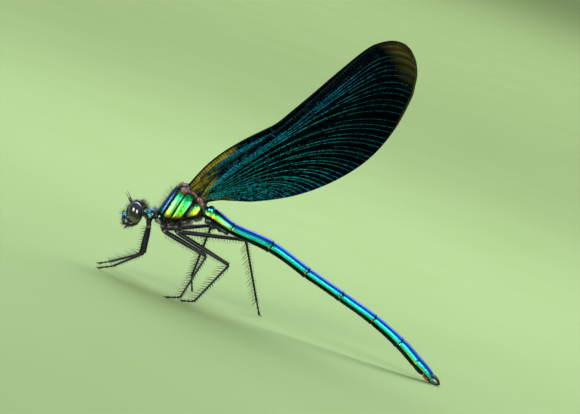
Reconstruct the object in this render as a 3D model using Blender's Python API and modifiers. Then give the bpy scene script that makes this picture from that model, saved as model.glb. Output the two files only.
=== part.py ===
"""A male beautiful demoiselle: a damselfly that stands with its wings closed over its back.

The head points along -X, the tail along +X, and Z is up. The animal's left side is -Y.
Sizes are written in millimetres and turned into metres where a mesh is made.
"""

import math

import bmesh
import bpy
from mathutils import Matrix, Vector

MM = 0.001
GAP = 0.3
SIDES = {"left": -1.0, "right": 1.0}

# Head: the outline of its middle plane, as direction in degrees and distance from the centre
HEAD_CENTRE = Vector((-20.45, 0.0, 8.2))
HEAD_OUTLINE = (
    (8, 0.92), (35, 1.0), (60, 1.12), (99, 1.12), (137, 1.2), (184, 1.22), (205, 1.45), (216, 1.6),
    (225, 1.62), (235, 1.75), (243, 1.8), (251, 1.72), (262, 1.84), (285, 1.72), (303, 1.42), (340, 1.0),
)
HEAD_HALF_WIDTH = 1.35
HEAD_RING_POINTS = 40
HEAD_SLICES = 15
HEAD_SIDE_SHARE = 0.62

EYE_CENTRE = Vector((-20.44, 1.5, 8.32))
EYE_RADII = Vector((0.9, 0.85, 1.31))
EYE_LEAN = math.radians(-13.0)

# Antennae: direction and sideways place on the head, then reach outward and sideways of each bend
ANTENNA_DIRECTION = 134.0
ANTENNA_PLACE = 0.56
ANTENNA_BENDS = ((0.0, 0.0, 0.25), (0.4, 0.05, 0.25), (0.75, 0.18, 0.2), (1.4, 0.42, 0.08))

# Forehead and mouthparts, as name, centre, radii and whether there is one on each side
FACE_FORMS = (
    ("brow", (-21.32, 0.36, 8.42), (0.36, 0.46, 0.36), True),
    ("nose", (-21.76, 0.0, 7.45), (0.38, 0.84, 0.35), False),
    ("upper lip", (-21.6, 0.0, 6.73), (0.3, 0.64, 0.25), False),
    ("mandible", (-21.12, 0.64, 6.76), (0.42, 0.3, 0.4), True),
    ("lower lip", (-20.7, 0.0, 6.34), (0.64, 0.52, 0.22), False),
    ("palp", (-21.25, 0.36, 6.2), (0.3, 0.17, 0.17), True),
    ("middle simple eye", (-21.42, 0.0, 8.83), (0.15, 0.15, 0.15), False),
    ("rear simple eye", (-21.0, 0.33, 9.12), (0.14, 0.14, 0.14), True),
)

# Neck and prothorax: place along X, height of the middle, half height, half width
NECK_DIRECTION = 4.0
NECK_RADIUS = 0.27
PROTHORAX_SLICES = (
    (-19.12, 8.35, 0.66, 0.78), (-18.98, 8.38, 0.62, 0.74), (-18.8, 8.44, 0.74, 0.88),
    (-18.5, 8.46, 0.74, 0.9), (-18.35, 8.48, 0.62, 0.78), (-18.22, 8.55, 0.68, 0.86),
    (-18.08, 8.6, 0.55, 0.7), (-17.6, 8.7, 0.4, 0.5),
)

# Thorax: bottom X and Z, top X and Z and half width of each slanted slice, from the front to the back
THORAX_SLICES = (
    (-18.1, 8.95, -17.05, 12.3, 0.5), (-17.9, 8.5, -16.7, 12.95, 1.05), (-17.3, 8.1, -16.1, 13.2, 1.42),
    (-16.6, 7.98, -15.4, 13.2, 1.64), (-15.6, 8.35, -14.5, 12.95, 1.7), (-14.6, 8.9, -13.6, 12.6, 1.64),
    (-13.6, 9.4, -12.9, 12.3, 1.55), (-12.8, 9.85, -12.4, 11.95, 1.25), (-12.4, 10.15, -12.2, 11.5, 0.8),
)
THORAX_SUTURES = (1.85, 3.3, 4.85)
SUTURE_DEPTH = 0.1
SUTURE_HALF_WIDTH = 0.16
THORAX_RING_POINTS = 26
THORAX_SQUARENESS = 2.9
THORAX_TOP_TAPER = 0.1

# Abdomen: length, slope in degrees, and full depth at the front, middle and back of each segment
ABDOMEN_START = Vector((-11.95, 0.0, 11.0))
ABDOMEN_SEGMENTS = (
    (0.95, -7.0, 1.75, 1.85, 1.88), (2.73, -14.4, 1.86, 1.8, 1.52), (5.41, -5.5, 1.5, 1.46, 1.5),
    (5.58, -16.8, 1.42, 1.3, 1.34), (5.21, -15.6, 1.3, 1.24, 1.3), (4.98, -16.6, 1.28, 1.26, 1.34),
    (4.37, -22.6, 1.32, 1.34, 1.44), (3.13, -29.9, 1.44, 1.52, 1.58), (1.69, -27.5, 1.56, 1.52, 1.4),
    (1.45, -33.0, 1.38, 1.24, 0.98),
)
ABDOMEN_WIDTH_SHARE = 0.94
ABDOMEN_RING_POINTS = 18
ABDOMEN_SQUARENESS = 2.3
ABDOMEN_ROOT_DEPTH = 0.9
SEGMENT_STATIONS = (0.0, 0.04, 0.14, 0.5, 0.86, 0.96, 1.0)
SEGMENT_FLARE = (0.86, 0.98, 1.0, 1.0, 1.0, 1.03, 0.92)

CLASPER_POINTS = ((20.9, 0.25, 0.95), (21.5, 0.42, 0.7), (22.1, 0.5, 0.42), (22.62, 0.3, 0.2))
CLASPER_RADII = (0.25, 0.25, 0.24, 0.14)
LOWER_CLASPER_POINTS = ((20.9, 0.22, 0.5), (21.35, 0.28, 0.12), (21.95, 0.26, 0.08))
LOWER_CLASPER_RADII = (0.25, 0.24, 0.16)

# Legs: where each one bends, from inside the body to the toe, and how thick it is there
LEGS = {
    "front_left": (
        (-18.6, -0.3, 8.1), (-18.5, -0.8, 7.5), (-18.3, -1.05, 7.15), (-17.7, -2.8, 4.0),
        (-20.9, -2.0, 1.05), (-22.6, -1.7, 0.05)),
    "front_right": (
        (-18.6, 0.3, 8.1), (-18.55, 0.8, 7.4), (-18.45, 1.05, 6.9), (-18.35, 2.8, 2.9),
        (-21.6, 2.2, 0.8), (-22.9, 1.9, 0.05)),
    "middle_left": (
        (-16.6, -0.5, 8.6), (-16.6, -1.1, 7.65), (-16.3, -1.4, 7.24), (-10.25, -4.2, 6.46),
        (-11.6, -5.2, 0.6), (-13.3, -5.6, 0.05)),
    "middle_right": (
        (-16.6, 0.5, 8.6), (-16.55, 1.1, 7.6), (-16.3, 1.4, 7.2), (-11.05, 3.6, 9.2),
        (-11.35, 4.8, 2.0), (-10.7, 5.45, 0.05)),
    "hind_left": (
        (-15.0, -0.5, 9.1), (-15.0, -1.1, 8.1), (-14.75, -1.4, 7.65), (-7.2, -4.4, 6.35),
        (-9.85, -4.5, 0.6), (-11.4, -4.3, 0.05)),
    "hind_right": (
        (-15.0, 0.5, 9.1), (-14.9, 1.1, 8.05), (-14.6, 1.4, 7.4), (-6.35, 4.0, 8.85),
        (-2.45, 4.6, 1.7), (-1.6, 5.0, 0.05)),
}
COXA_RADIUS = 0.46
FRONT_COXA_RADIUS = 0.38
FEMUR_RADII = (0.34, 0.33, 0.28)
TIBIA_RADII = (0.27, 0.25, 0.25)
TARSUS_RADII = (0.25, 0.23, 0.16)
TARSUS_PAD = 0.6
LEG_SIDES = 8

# Wings: each lies in a plane of its own, at the distance called layer from the middle plane.
# Places on a wing are the distance out along its axis and the distance forward of it.
WING_AXIS_ANGLE = math.radians(50.4)
WINGS = {
    "fore": {
        "root": Vector((-14.9, 0.0, 13.1)), "layer": 0.47, "root_layer": 0.5,
        "root_line": ((-0.9, 0.25), (-0.7, -0.95)),
        "leading": ((-0.9, 0.25), (2.7, 1.4), (5.4, 1.83), (8.5, 1.87), (11.5, 1.64), (13.4, 1.5),
                    (16.1, 1.86), (19.0, 2.3), (24.4, 3.2), (28.3, 3.66), (30.1, 3.35), (31.4, 2.72),
                    (32.25, 1.75), (32.55, 0.65)),
        "margin": ((32.55, 0.65), (32.4, -0.6), (31.8, -2.0), (30.85, -3.15), (29.3, -4.3), (25.3, -6.3),
                   (20.8, -7.5), (16.0, -7.6), (11.5, -6.6), (7.0, -4.75), (3.2, -2.6)),
    },
    "hind": {
        "root": Vector((-12.9, 0.0, 12.4)), "layer": 1.4, "root_layer": 1.4,
        "root_line": ((-1.0, 0.5), (-0.9, 0.05)),
        "leading": ((-1.0, 0.5), (0.5, 1.0), (1.2, 1.36), (3.0, 1.96), (5.7, 2.5), (8.5, 2.65), (12.0, 2.8),
                    (14.5, 3.05), (18.0, 3.75), (23.0, 4.75), (26.6, 5.4), (28.4, 5.4), (30.0, 4.8),
                    (31.1, 3.8), (31.55, 2.6)),
        "margin": ((31.55, 2.6), (31.5, 1.35), (31.0, 0.0), (30.1, -1.15), (28.9, -2.3), (25.0, -4.6),
                   (20.5, -6.05), (15.8, -6.25), (10.7, -5.4), (5.6, -3.35), (2.8, -1.55)),
    },
}
VEIN_LINES = (
    0.0, 0.05, 0.1, 0.16, 0.22, 0.3, 0.37, 0.44, 0.51, 0.58, 0.65, 0.72, 0.79, 0.85, 0.91, 0.96, 1.0)
VEIN_STATIONS = 20
# Heading of the veins at the root and at the margin, in degrees, and how far each heading holds
VEIN_START_ANGLES = ((0.0, 22.0), (0.15, 12.0), (0.5, -3.0), (0.8, -10.0), (1.0, -15.0))
VEIN_END_ANGLES = (
    (0.0, -70.0), (0.08, -48.0), (0.25, -46.0), (0.5, -58.0), (0.75, -70.0), (0.9, -75.0), (1.0, -40.0))
START_PULL = 0.42
END_PULL = 0.3
LEADING_BLEND = 0.3
VEIN_THICKNESS = 0.62
MEMBRANE_SHARE = 0.8
WING_BEND_LENGTH = 2.6

# Colours, roughness and metallic values
FINISHES = {
    "green metal": ((0.02, 0.32, 0.12, 1.0), 0.3, 0.8),
    "blue metal": ((0.02, 0.16, 0.42, 1.0), 0.3, 0.8),
    "eye brown": ((0.03, 0.018, 0.015, 1.0), 0.15, 0.0),
    "black shell": ((0.012, 0.013, 0.02, 1.0), 0.35, 0.2),
    "dark wing": ((0.004, 0.03, 0.045, 1.0), 0.35, 0.5),
}


def new_collection(name):
    collection = bpy.data.collections.new(name)
    bpy.context.scene.collection.children.link(collection)
    return collection


def new_finish(name):
    colour, roughness, metallic = FINISHES[name]
    material = bpy.data.materials.new(name)
    material.use_nodes = True
    shader = material.node_tree.nodes["Principled BSDF"]
    shader.inputs["Base Color"].default_value = colour
    shader.inputs["Roughness"].default_value = roughness
    shader.inputs["Metallic"].default_value = metallic
    return material


def add_object(name, shape, finish, collection):
    """Turn a bmesh whose sizes are in millimetres into an object in metres."""
    bmesh.ops.scale(shape, vec=(MM, MM, MM), verts=shape.verts)
    mesh = bpy.data.meshes.new(name)
    shape.to_mesh(mesh)
    shape.free()
    mesh.shade_smooth()
    mesh.set_sharp_from_angle(angle=math.radians(40.0))
    if finish is not None:
        mesh.materials.append(finish)
    piece = bpy.data.objects.new(name, mesh)
    collection.objects.link(piece)
    return piece


def curve_value(table, place):
    """Read a smooth curve through (place, value) pairs, whose values are numbers or vectors."""
    places = [row[0] for row in table]
    values = [row[1] for row in table]
    last = len(table) - 1
    place = min(max(place, places[0]), places[last])
    index = max(i for i in range(last) if places[i] <= place)

    def slope(i):
        before = max(i - 1, 0)
        after = min(i + 1, last)
        return (values[after] - values[before]) / (places[after] - places[before])

    span = places[index + 1] - places[index]
    t = (place - places[index]) / span
    start_share = 2 * t ** 3 - 3 * t ** 2 + 1
    start_slope_share = t ** 3 - 2 * t ** 2 + t
    end_slope_share = t ** 3 - t ** 2
    return (
        values[index] * start_share
        + slope(index) * (span * start_slope_share)
        + values[index + 1] * (1 - start_share)
        + slope(index + 1) * (span * end_slope_share)
    )


def smooth_step(value):
    value = min(max(value, 0.0), 1.0)
    return value * value * (3 - 2 * value)


def loft_shape(rings):
    """Join rings of equal count into one closed skin with a fan of faces over each end."""
    shape = bmesh.new()
    rows = [[shape.verts.new(point) for point in ring] for ring in rings]
    count = len(rings[0])
    for lower, upper in zip(rows, rows[1:]):
        for index in range(count):
            follow = (index + 1) % count
            shape.faces.new((lower[index], lower[follow], upper[follow], upper[index]))
    for row in (rows[0], rows[-1]):
        middle = sum((vert.co for vert in row), Vector()) / count
        hub = shape.verts.new(middle)
        for index in range(count):
            shape.faces.new((hub, row[index], row[(index + 1) % count]))
    bmesh.ops.triangulate(shape, faces=shape.faces)
    bmesh.ops.recalc_face_normals(shape, faces=shape.faces)
    return shape


def oval_ring(centre, up, side, count, squareness=2.0, top_taper=0.0):
    """Points round a rounded section; the taper makes it narrower at the top than at the bottom."""
    ring = []
    for index in range(count):
        angle = 2 * math.pi * index / count
        rise = math.copysign(abs(math.cos(angle)) ** (2 / squareness), math.cos(angle))
        reach = math.copysign(abs(math.sin(angle)) ** (2 / squareness), math.sin(angle))
        ring.append(centre + up * rise + side * (reach * (1 - top_taper * rise)))
    return ring


def on_plane(ring, direction, plane_point, plane_normal):
    """Slide ring points along a direction on to a plane."""
    rate = direction.dot(plane_normal)
    return [point + direction * ((plane_point - point).dot(plane_normal) / rate) for point in ring]


def tube_rings(points, radii, count):
    """Rings square to a line of points, turned as little as possible from one to the next."""
    points = [Vector(point) for point in points]
    rings = []
    side = None
    last = len(points) - 1
    for index, point in enumerate(points):
        direction = (points[min(index + 1, last)] - points[max(index - 1, 0)]).normalized()
        if side is None:
            side = direction.cross(Vector((0.0, 0.0, 1.0))).normalized()
        side = (side - direction * side.dot(direction)).normalized()
        rings.append(oval_ring(point, side * radii[index], direction.cross(side) * radii[index], count))
    return rings


def mirrored(point, side):
    return Vector((point[0], point[1] * side, point[2]))


def grown_copy(piece, cutters):
    """Copy a piece's mesh with its surface moved outward by the gap, for cutting its neighbours."""
    name = piece.name + " clearance"
    known = bpy.data.objects.get(name)
    if known is not None:
        return known
    shape = bmesh.new()
    shape.from_mesh(piece.data)
    shape.normal_update()
    moves = [(vert, vert.normal * (vert.calc_shell_factor() * GAP * MM)) for vert in shape.verts]
    for vert, move in moves:
        vert.co += move
    mesh = bpy.data.meshes.new(name)
    shape.to_mesh(mesh)
    shape.free()
    cutter = bpy.data.objects.new(name, mesh)
    cutter.display_type = "WIRE"
    cutter.hide_render = True
    cutters.objects.link(cutter)
    return cutter


def cut_clear(piece, neighbours, cutters):
    for neighbour in neighbours:
        cut = piece.modifiers.new("clear of " + neighbour.name, "BOOLEAN")
        cut.operation = "DIFFERENCE"
        cut.solver = "EXACT"
        cut.object = grown_copy(neighbour, cutters)


def fuse(name, shapes, finish, parts):
    """Join closed shapes into one node with a single union."""
    base = add_object(name, shapes[0], finish, parts)
    extras = bpy.data.collections.new(name + " pieces")
    bpy.context.scene.collection.children.link(extras)
    for index, shape in enumerate(shapes[1:]):
        add_object(f"{name} piece {index}", shape, finish, extras)
    union = base.modifiers.new("union", "BOOLEAN")
    union.operation = "UNION"
    union.operand_type = "COLLECTION"
    union.solver = "EXACT"
    union.collection = extras
    depsgraph = bpy.context.evaluated_depsgraph_get()
    joined = bpy.data.meshes.new_from_object(base.evaluated_get(depsgraph))
    base.modifiers.clear()
    base.data = joined
    for extra in list(extras.objects):
        bpy.data.objects.remove(extra, do_unlink=True)
    bpy.data.collections.remove(extras)
    return base


def ball_shape(centre, radii):
    shape = bmesh.new()
    bmesh.ops.create_uvsphere(shape, u_segments=10, v_segments=6, radius=1.0)
    bmesh.ops.scale(shape, vec=radii, verts=shape.verts)
    bmesh.ops.translate(shape, vec=centre, verts=shape.verts)
    bmesh.ops.triangulate(shape, faces=shape.faces)
    return shape


def eye_distance(angle):
    """Distance from the head's centre to the eye's outline in the direction of an angle."""
    turned = angle - EYE_LEAN
    return 1 / math.hypot(math.cos(turned) / EYE_RADII.x, math.sin(turned) / EYE_RADII.z)


def head_reach(place, degrees):
    """Distance from the head's middle line to its surface, at a sideways place and a direction."""
    outline = [(start - 360, reach) for start, reach in HEAD_OUTLINE[-2:]]
    outline += list(HEAD_OUTLINE)
    outline += [(start + 360, reach) for start, reach in HEAD_OUTLINE[:2]]
    middle_reach = curve_value(outline, degrees)
    side_reach = eye_distance(math.radians(degrees)) * HEAD_SIDE_SHARE
    side_share = smooth_step((abs(place) - 0.35) / 0.75)
    return middle_reach + (side_reach - middle_reach) * side_share


def head_shape():
    rings = []
    for row in range(HEAD_SLICES):
        place = -math.cos(math.pi * (row + 0.5) / HEAD_SLICES) * HEAD_HALF_WIDTH
        ring = []
        for index in range(HEAD_RING_POINTS):
            degrees = 360 * index / HEAD_RING_POINTS
            offset = slope_vector(degrees) * head_reach(place, degrees)
            ring.append(HEAD_CENTRE + offset + Vector((0.0, place, 0.0)))
        rings.append(ring)
    return loft_shape(rings)


def make_head(parts, finish):
    shapes = [head_shape()]
    for _, centre, radii, paired in FACE_FORMS:
        for side in (SIDES.values() if paired else (1.0,)):
            shapes.append(ball_shape(mirrored(centre, side), radii))
    return fuse("head", shapes, finish, parts)


def make_eye(side_name, parts, finish):
    side = SIDES[side_name]
    shape = bmesh.new()
    bmesh.ops.create_uvsphere(shape, u_segments=20, v_segments=14, radius=1.0)
    bmesh.ops.scale(shape, vec=EYE_RADII, verts=shape.verts)
    bmesh.ops.rotate(shape, matrix=Matrix.Rotation(EYE_LEAN, 3, "Y"), verts=shape.verts)
    bmesh.ops.translate(shape, vec=mirrored(EYE_CENTRE, side), verts=shape.verts)
    bmesh.ops.triangulate(shape, faces=shape.faces)
    return add_object("eye_" + side_name, shape, finish, parts)


def make_antenna(side_name, parts, finish):
    side = SIDES[side_name]
    outward = slope_vector(ANTENNA_DIRECTION)
    base = HEAD_CENTRE + outward * (head_reach(ANTENNA_PLACE, ANTENNA_DIRECTION) + GAP)
    points = [
        base + outward * reach + Vector((0.0, side * (ANTENNA_PLACE + spread), 0.0))
        for reach, spread, _ in ANTENNA_BENDS
    ]
    radii = [radius for _, _, radius in ANTENNA_BENDS]
    shape = loft_shape(tube_rings(points, radii, LEG_SIDES))
    return add_object("antenna_" + side_name, shape, finish, parts)


def make_prothorax(parts, finish):
    neck = HEAD_CENTRE + slope_vector(NECK_DIRECTION) * (head_reach(0.0, NECK_DIRECTION) + GAP)
    neck_up = Vector((0, 0, NECK_RADIUS))
    rings = [oval_ring(neck, neck_up, Vector((0, NECK_RADIUS, 0)), 20)]
    for place, middle, half_height, half_width in PROTHORAX_SLICES:
        centre = Vector((place, 0.0, middle))
        rings.append(oval_ring(centre, Vector((0, 0, half_height)), Vector((0, half_width, 0)), 20))
    return add_object("prothorax", loft_shape(rings), finish, parts)


def thorax_places():
    """Slice places: one at each given slice, and three across each suture groove."""
    places = {float(index) for index in range(len(THORAX_SLICES))}
    for suture in THORAX_SUTURES:
        places = {place for place in places if abs(place - suture) > 2.2 * SUTURE_HALF_WIDTH}
        places |= {suture - SUTURE_HALF_WIDTH, suture, suture + SUTURE_HALF_WIDTH}
    return sorted(places)


def make_thorax(parts, finish):
    bottom = [(i, Vector((row[0], 0.0, row[1]))) for i, row in enumerate(THORAX_SLICES)]
    top = [(i, Vector((row[2], 0.0, row[3]))) for i, row in enumerate(THORAX_SLICES)]
    width = [(i, row[4]) for i, row in enumerate(THORAX_SLICES)]
    rings = []
    for place in thorax_places():
        low = curve_value(bottom, place)
        high = curve_value(top, place)
        groove = SUTURE_DEPTH if place in THORAX_SUTURES else 0.0
        up = (high - low) / 2
        side = Vector((0, curve_value(width, place) - groove, 0))
        rings.append(oval_ring(low + up, up, side, THORAX_RING_POINTS, THORAX_SQUARENESS, THORAX_TOP_TAPER))
    return add_object("thorax", loft_shape(rings), finish, parts)


def slope_vector(degrees):
    angle = math.radians(degrees)
    return Vector((math.cos(angle), 0.0, math.sin(angle)))


def abdomen_joints():
    joints = [ABDOMEN_START]
    for length, slope, *_ in ABDOMEN_SEGMENTS:
        joints.append(joints[-1] + slope_vector(slope) * length)
    return joints


def segment_rings(index, joints):
    """Rings of one segment along a smooth spine, drawn in by half the gap at both ends."""
    length, _, front, middle, back = ABDOMEN_SEGMENTS[index]
    spine = [(i, joint) for i, joint in enumerate(joints)]
    depths = ((0.0, front), (0.5, middle), (1.0, back))
    inset = GAP / 2 / length
    start = -ABDOMEN_ROOT_DEPTH / length if index == 0 else inset
    rings = []
    for station, flare in zip(SEGMENT_STATIONS, SEGMENT_FLARE):
        share = start + (1 - inset - start) * station
        centre = curve_value(spine, index + share)
        ahead = curve_value(spine, index + share + 0.01)
        behind = curve_value(spine, index + share - 0.01)
        if index == 0 and share < 0:
            centre = joints[0] + slope_vector(ABDOMEN_SEGMENTS[0][1]) * (share * length)
        direction = (ahead - behind).normalized()
        half = curve_value(depths, share) * flare / 2
        up = Vector((-direction.z, 0.0, direction.x)) * half
        side = Vector((0.0, half * ABDOMEN_WIDTH_SHARE, 0.0))
        ring = oval_ring(centre, up, side, ABDOMEN_RING_POINTS, ABDOMEN_SQUARENESS)
        rings.append(on_floor(ring))
    return rings


def on_floor(ring):
    """Flatten what would reach below the floor."""
    return [Vector((point.x, point.y, max(point.z, 0.0))) for point in ring]


def clasper_shapes():
    shapes = []
    for points, radii in ((CLASPER_POINTS, CLASPER_RADII), (LOWER_CLASPER_POINTS, LOWER_CLASPER_RADII)):
        for side in SIDES.values():
            line = [mirrored(point, side) for point in points]
            rings = [on_floor(ring) for ring in tube_rings(line, radii, LEG_SIDES)]
            shapes.append(loft_shape(rings))
    return shapes


def make_abdomen(parts, finish):
    joints = abdomen_joints()
    last = len(ABDOMEN_SEGMENTS) - 1
    segments = []
    for index in range(last):
        shape = loft_shape(segment_rings(index, joints))
        segments.append(add_object(f"abdomen_{index + 1}", shape, finish, parts))
    shapes = [loft_shape(segment_rings(last, joints))] + clasper_shapes()
    segments.append(fuse(f"abdomen_{last + 1}", shapes, finish, parts))
    return segments


def bend_plane(before, at, after):
    """The plane that halves a bend."""
    return ((at - before).normalized() + (after - at).normalized()).normalized()


def tube_between(points, radii, start_normal=None, end_normal=None):
    """A tube whose ends lie on the planes of the bends there, half the gap short of each."""
    rings = tube_rings(points, radii, LEG_SIDES)
    if start_normal is not None:
        direction = (points[1] - points[0]).normalized()
        rings[0] = on_plane(rings[0], direction, points[0] + start_normal * (GAP / 2), start_normal)
    if end_normal is not None:
        direction = (points[-1] - points[-2]).normalized()
        rings[-1] = on_plane(rings[-1], direction, points[-1] - end_normal * (GAP / 2), end_normal)
    return [on_floor(ring) for ring in rings]


def make_leg(name, parts, finish):
    root, coxa, hip, knee, ankle, toe = (Vector(point) for point in LEGS[name])
    knee_plane = bend_plane(hip, knee, ankle)
    ankle_plane = bend_plane(knee, ankle, toe)
    coxa_radius = FRONT_COXA_RADIUS if name.startswith("front") else COXA_RADIUS
    thigh_points = [root, coxa, hip.lerp(knee, 0.08), hip.lerp(knee, 0.4), hip.lerp(knee, 0.75), knee]
    thigh_radii = (coxa_radius, coxa_radius, FEMUR_RADII[0], FEMUR_RADII[1], FEMUR_RADII[1], FEMUR_RADII[2])
    thigh = tube_between(thigh_points, thigh_radii, end_normal=knee_plane)
    shin_points = [knee, knee.lerp(ankle, 0.4), knee.lerp(ankle, 0.75), ankle]
    shin_radii = (TIBIA_RADII[0], TIBIA_RADII[1], TIBIA_RADII[2], TIBIA_RADII[2])
    shin = tube_between(shin_points, shin_radii, knee_plane, ankle_plane)
    forward = Vector((toe.x - ankle.x, toe.y - ankle.y, 0.0)).normalized()
    ball = toe - forward * TARSUS_PAD
    foot = tube_between([ankle, ball, toe], TARSUS_RADII, start_normal=ankle_plane)
    return [
        add_object(f"leg_{name}_{part}", loft_shape(rings), finish, parts)
        for part, rings in (("femur", thigh), ("tibia", shin), ("tarsus", foot))
    ]


def planar(place):
    return Vector((place[0], place[1]))


def turned(degrees):
    angle = math.radians(degrees)
    return Vector((math.cos(angle), math.sin(angle)))


def chord_table(points):
    """Pair each point with how far along the line it lies, from 0 to 1."""
    places = [0.0]
    for before, after in zip(points, points[1:]):
        places.append(places[-1] + (planar(after) - planar(before)).length)
    return [(place / places[-1], planar(point)) for place, point in zip(places, points)]


def wing_place(wing, line, along):
    """A place on the wing: line picks the vein from the leading edge to the last, along goes out on it."""
    leading = chord_table(wing["leading"])
    margin = chord_table(wing["margin"])
    root_line = [planar(point) for point in wing["root_line"]]
    start = root_line[0].lerp(root_line[1], line)
    end = curve_value(margin, line)
    reach = (end - start).length
    start_pull = start + turned(curve_value(VEIN_START_ANGLES, line)) * (reach * START_PULL)
    end_pull = end - turned(curve_value(VEIN_END_ANGLES, line)) * (reach * END_PULL)
    rest = 1 - along
    free = (
        start * rest ** 3 + start_pull * (3 * rest ** 2 * along)
        + end_pull * (3 * rest * along ** 2) + end * along ** 3
    )
    edge = curve_value(leading, along)
    held = edge + (start - root_line[0]) * rest + (end - curve_value(margin, 0.0)) * along
    return held.lerp(free, smooth_step(line / LEADING_BLEND))


def wing_point(wing, line, along, side):
    out, forward = wing_place(wing, line, along)
    axis = Vector((math.cos(WING_AXIS_ANGLE), 0.0, math.sin(WING_AXIS_ANGLE)))
    front = Vector((-math.sin(WING_AXIS_ANGLE), 0.0, math.cos(WING_AXIS_ANGLE)))
    settle = smooth_step(out / WING_BEND_LENGTH)
    layer = wing["root_layer"] + (wing["layer"] - wing["root_layer"]) * settle
    return wing["root"] + axis * out + front * forward + Vector((0.0, side * layer, 0.0))


def make_wing(pair, side_name, parts, finish):
    """A thin sheet of triangles, alike on both faces, whose main veins stand up as ridges."""
    wing = WINGS[pair]
    side = SIDES[side_name]
    shape = bmesh.new()
    ridge_layer = shape.verts.layers.deform.verify()
    rows = []
    for number, line in enumerate(VEIN_LINES):
        row = []
        for station in range(VEIN_STATIONS):
            vert = shape.verts.new(wing_point(wing, line, station / (VEIN_STATIONS - 1), side))
            on_vein = number % 2 == 0 and station < VEIN_STATIONS - 1
            vert[ridge_layer][0] = 1.0 if on_vein else 0.0
            row.append(vert)
        rows.append(row)
    for near, far in zip(rows, rows[1:]):
        for index in range(VEIN_STATIONS - 1):
            shape.faces.new((near[index], near[index + 1], far[index + 1], far[index]))
    bmesh.ops.triangulate(shape, faces=shape.faces)
    piece = add_object(f"wing_{pair}_{side_name}", shape, finish, parts)
    piece.vertex_groups.new(name="veins")
    wall = piece.modifiers.new("thickness", "SOLIDIFY")
    wall.thickness = VEIN_THICKNESS * MM
    wall.offset = 0.0
    wall.vertex_group = "veins"
    wall.thickness_vertex_group = MEMBRANE_SHARE
    return piece


def main():
    for item in list(bpy.data.objects):
        bpy.data.objects.remove(item, do_unlink=True)
    parts = new_collection("damselfly")
    cutters = new_collection("cutters")
    finish = {name: new_finish(name) for name in FINISHES}

    head = make_head(parts, finish["black shell"])
    eyes = [make_eye(side_name, parts, finish["eye brown"]) for side_name in SIDES]
    cut_clear(head, eyes, cutters)
    prothorax = make_prothorax(parts, finish["green metal"])
    thorax = make_thorax(parts, finish["green metal"])
    cut_clear(prothorax, [thorax], cutters)
    for side_name in SIDES:
        make_antenna(side_name, parts, finish["black shell"])
    abdomen = make_abdomen(parts, finish["blue metal"])
    cut_clear(abdomen[0], [thorax], cutters)
    for name in LEGS:
        femur, *_ = make_leg(name, parts, finish["black shell"])
        body = [prothorax, thorax] if name.startswith("front") else [thorax]
        cut_clear(femur, body, cutters)
    for pair in WINGS:
        for side_name in SIDES:
            wing = make_wing(pair, side_name, parts, finish["dark wing"])
            cut_clear(wing, [thorax], cutters)


main()
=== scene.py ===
"""A male beautiful demoiselle, a metallic damselfly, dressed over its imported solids.

Sizes and places are in millimetres, in the part's own frame: the head points along -X, the tail along
+X, Z is up and the animal's left side is -Y. Points turn into metres where a mesh is made.
"""

import math
import random

import bmesh
import bpy
from mathutils import Matrix, Vector
from mathutils.bvhtree import BVHTree


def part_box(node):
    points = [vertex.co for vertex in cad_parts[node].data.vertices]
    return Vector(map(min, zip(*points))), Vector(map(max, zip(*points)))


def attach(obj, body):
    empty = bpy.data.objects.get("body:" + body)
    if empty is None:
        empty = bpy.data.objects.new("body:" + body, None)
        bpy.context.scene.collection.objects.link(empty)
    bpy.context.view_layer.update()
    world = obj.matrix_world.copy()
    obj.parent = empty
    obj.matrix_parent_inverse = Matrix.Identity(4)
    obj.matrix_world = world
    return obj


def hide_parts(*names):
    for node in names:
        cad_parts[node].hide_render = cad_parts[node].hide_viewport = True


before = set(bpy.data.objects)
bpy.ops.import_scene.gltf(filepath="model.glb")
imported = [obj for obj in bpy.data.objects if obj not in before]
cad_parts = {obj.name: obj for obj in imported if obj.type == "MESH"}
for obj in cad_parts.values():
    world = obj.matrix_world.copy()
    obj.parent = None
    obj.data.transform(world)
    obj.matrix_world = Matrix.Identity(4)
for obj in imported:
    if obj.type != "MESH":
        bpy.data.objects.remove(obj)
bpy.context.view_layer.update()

MM = 0.001
SIDES = {"left": -1.0, "right": 1.0}

# Camera: it looks a little downward and is rolled as the photograph's was
CAMERA_ELEVATION = math.radians(7.0)
CAMERA_ROLL = math.radians(19.3)
CAMERA_TARGET = Vector((-2.46, 0.0, 15.17))
CAMERA_DISTANCE = 362.5
CAMERA_LENS = 180.0
CAMERA_SENSOR = 36.0

# Small forms of the head and body grow together: size of the cells, and how often the skin is smoothed
MELT_CELL = 0.04
MELT_ROUNDS = 3

# Head: the outline of its middle plane, as direction in degrees and distance from the centre
HEAD_CENTRE = Vector((-20.45, 0.0, 8.2))
HEAD_OUTLINE = (
    (8, 0.92), (35, 1.0), (60, 1.12), (99, 1.12), (137, 1.2), (184, 1.22), (205, 1.45), (216, 1.6),
    (225, 1.62), (235, 1.75), (243, 1.8), (251, 1.72), (262, 1.84), (285, 1.72), (303, 1.42), (340, 1.0),
)
HEAD_HALF_WIDTH = 1.35
HEAD_RING_POINTS = 72
HEAD_SLICES = 40
HEAD_SIDE_SHARE = 0.62
EYE_LEAN = -13.0
EYE_RADII = Vector((0.9, 0.85, 1.31))
EYE_ROWS = 48
EYE_COLUMNS = 72

# Antennae: direction and sideways place on the head, then reach, sideways reach and radius of each bend
ANTENNA_DIRECTION = 134.0
ANTENNA_PLACE = 0.56
ANTENNA_BENDS = (
    (-0.1, 0.0, 0.2), (0.08, 0.02, 0.19), (0.22, 0.04, 0.17), (0.27, 0.05, 0.11), (0.36, 0.07, 0.12),
    (0.85, 0.2, 0.11), (0.92, 0.22, 0.05), (1.25, 0.36, 0.04), (1.75, 0.55, 0.02),
)
ANTENNA_SIDES = 14

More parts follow.
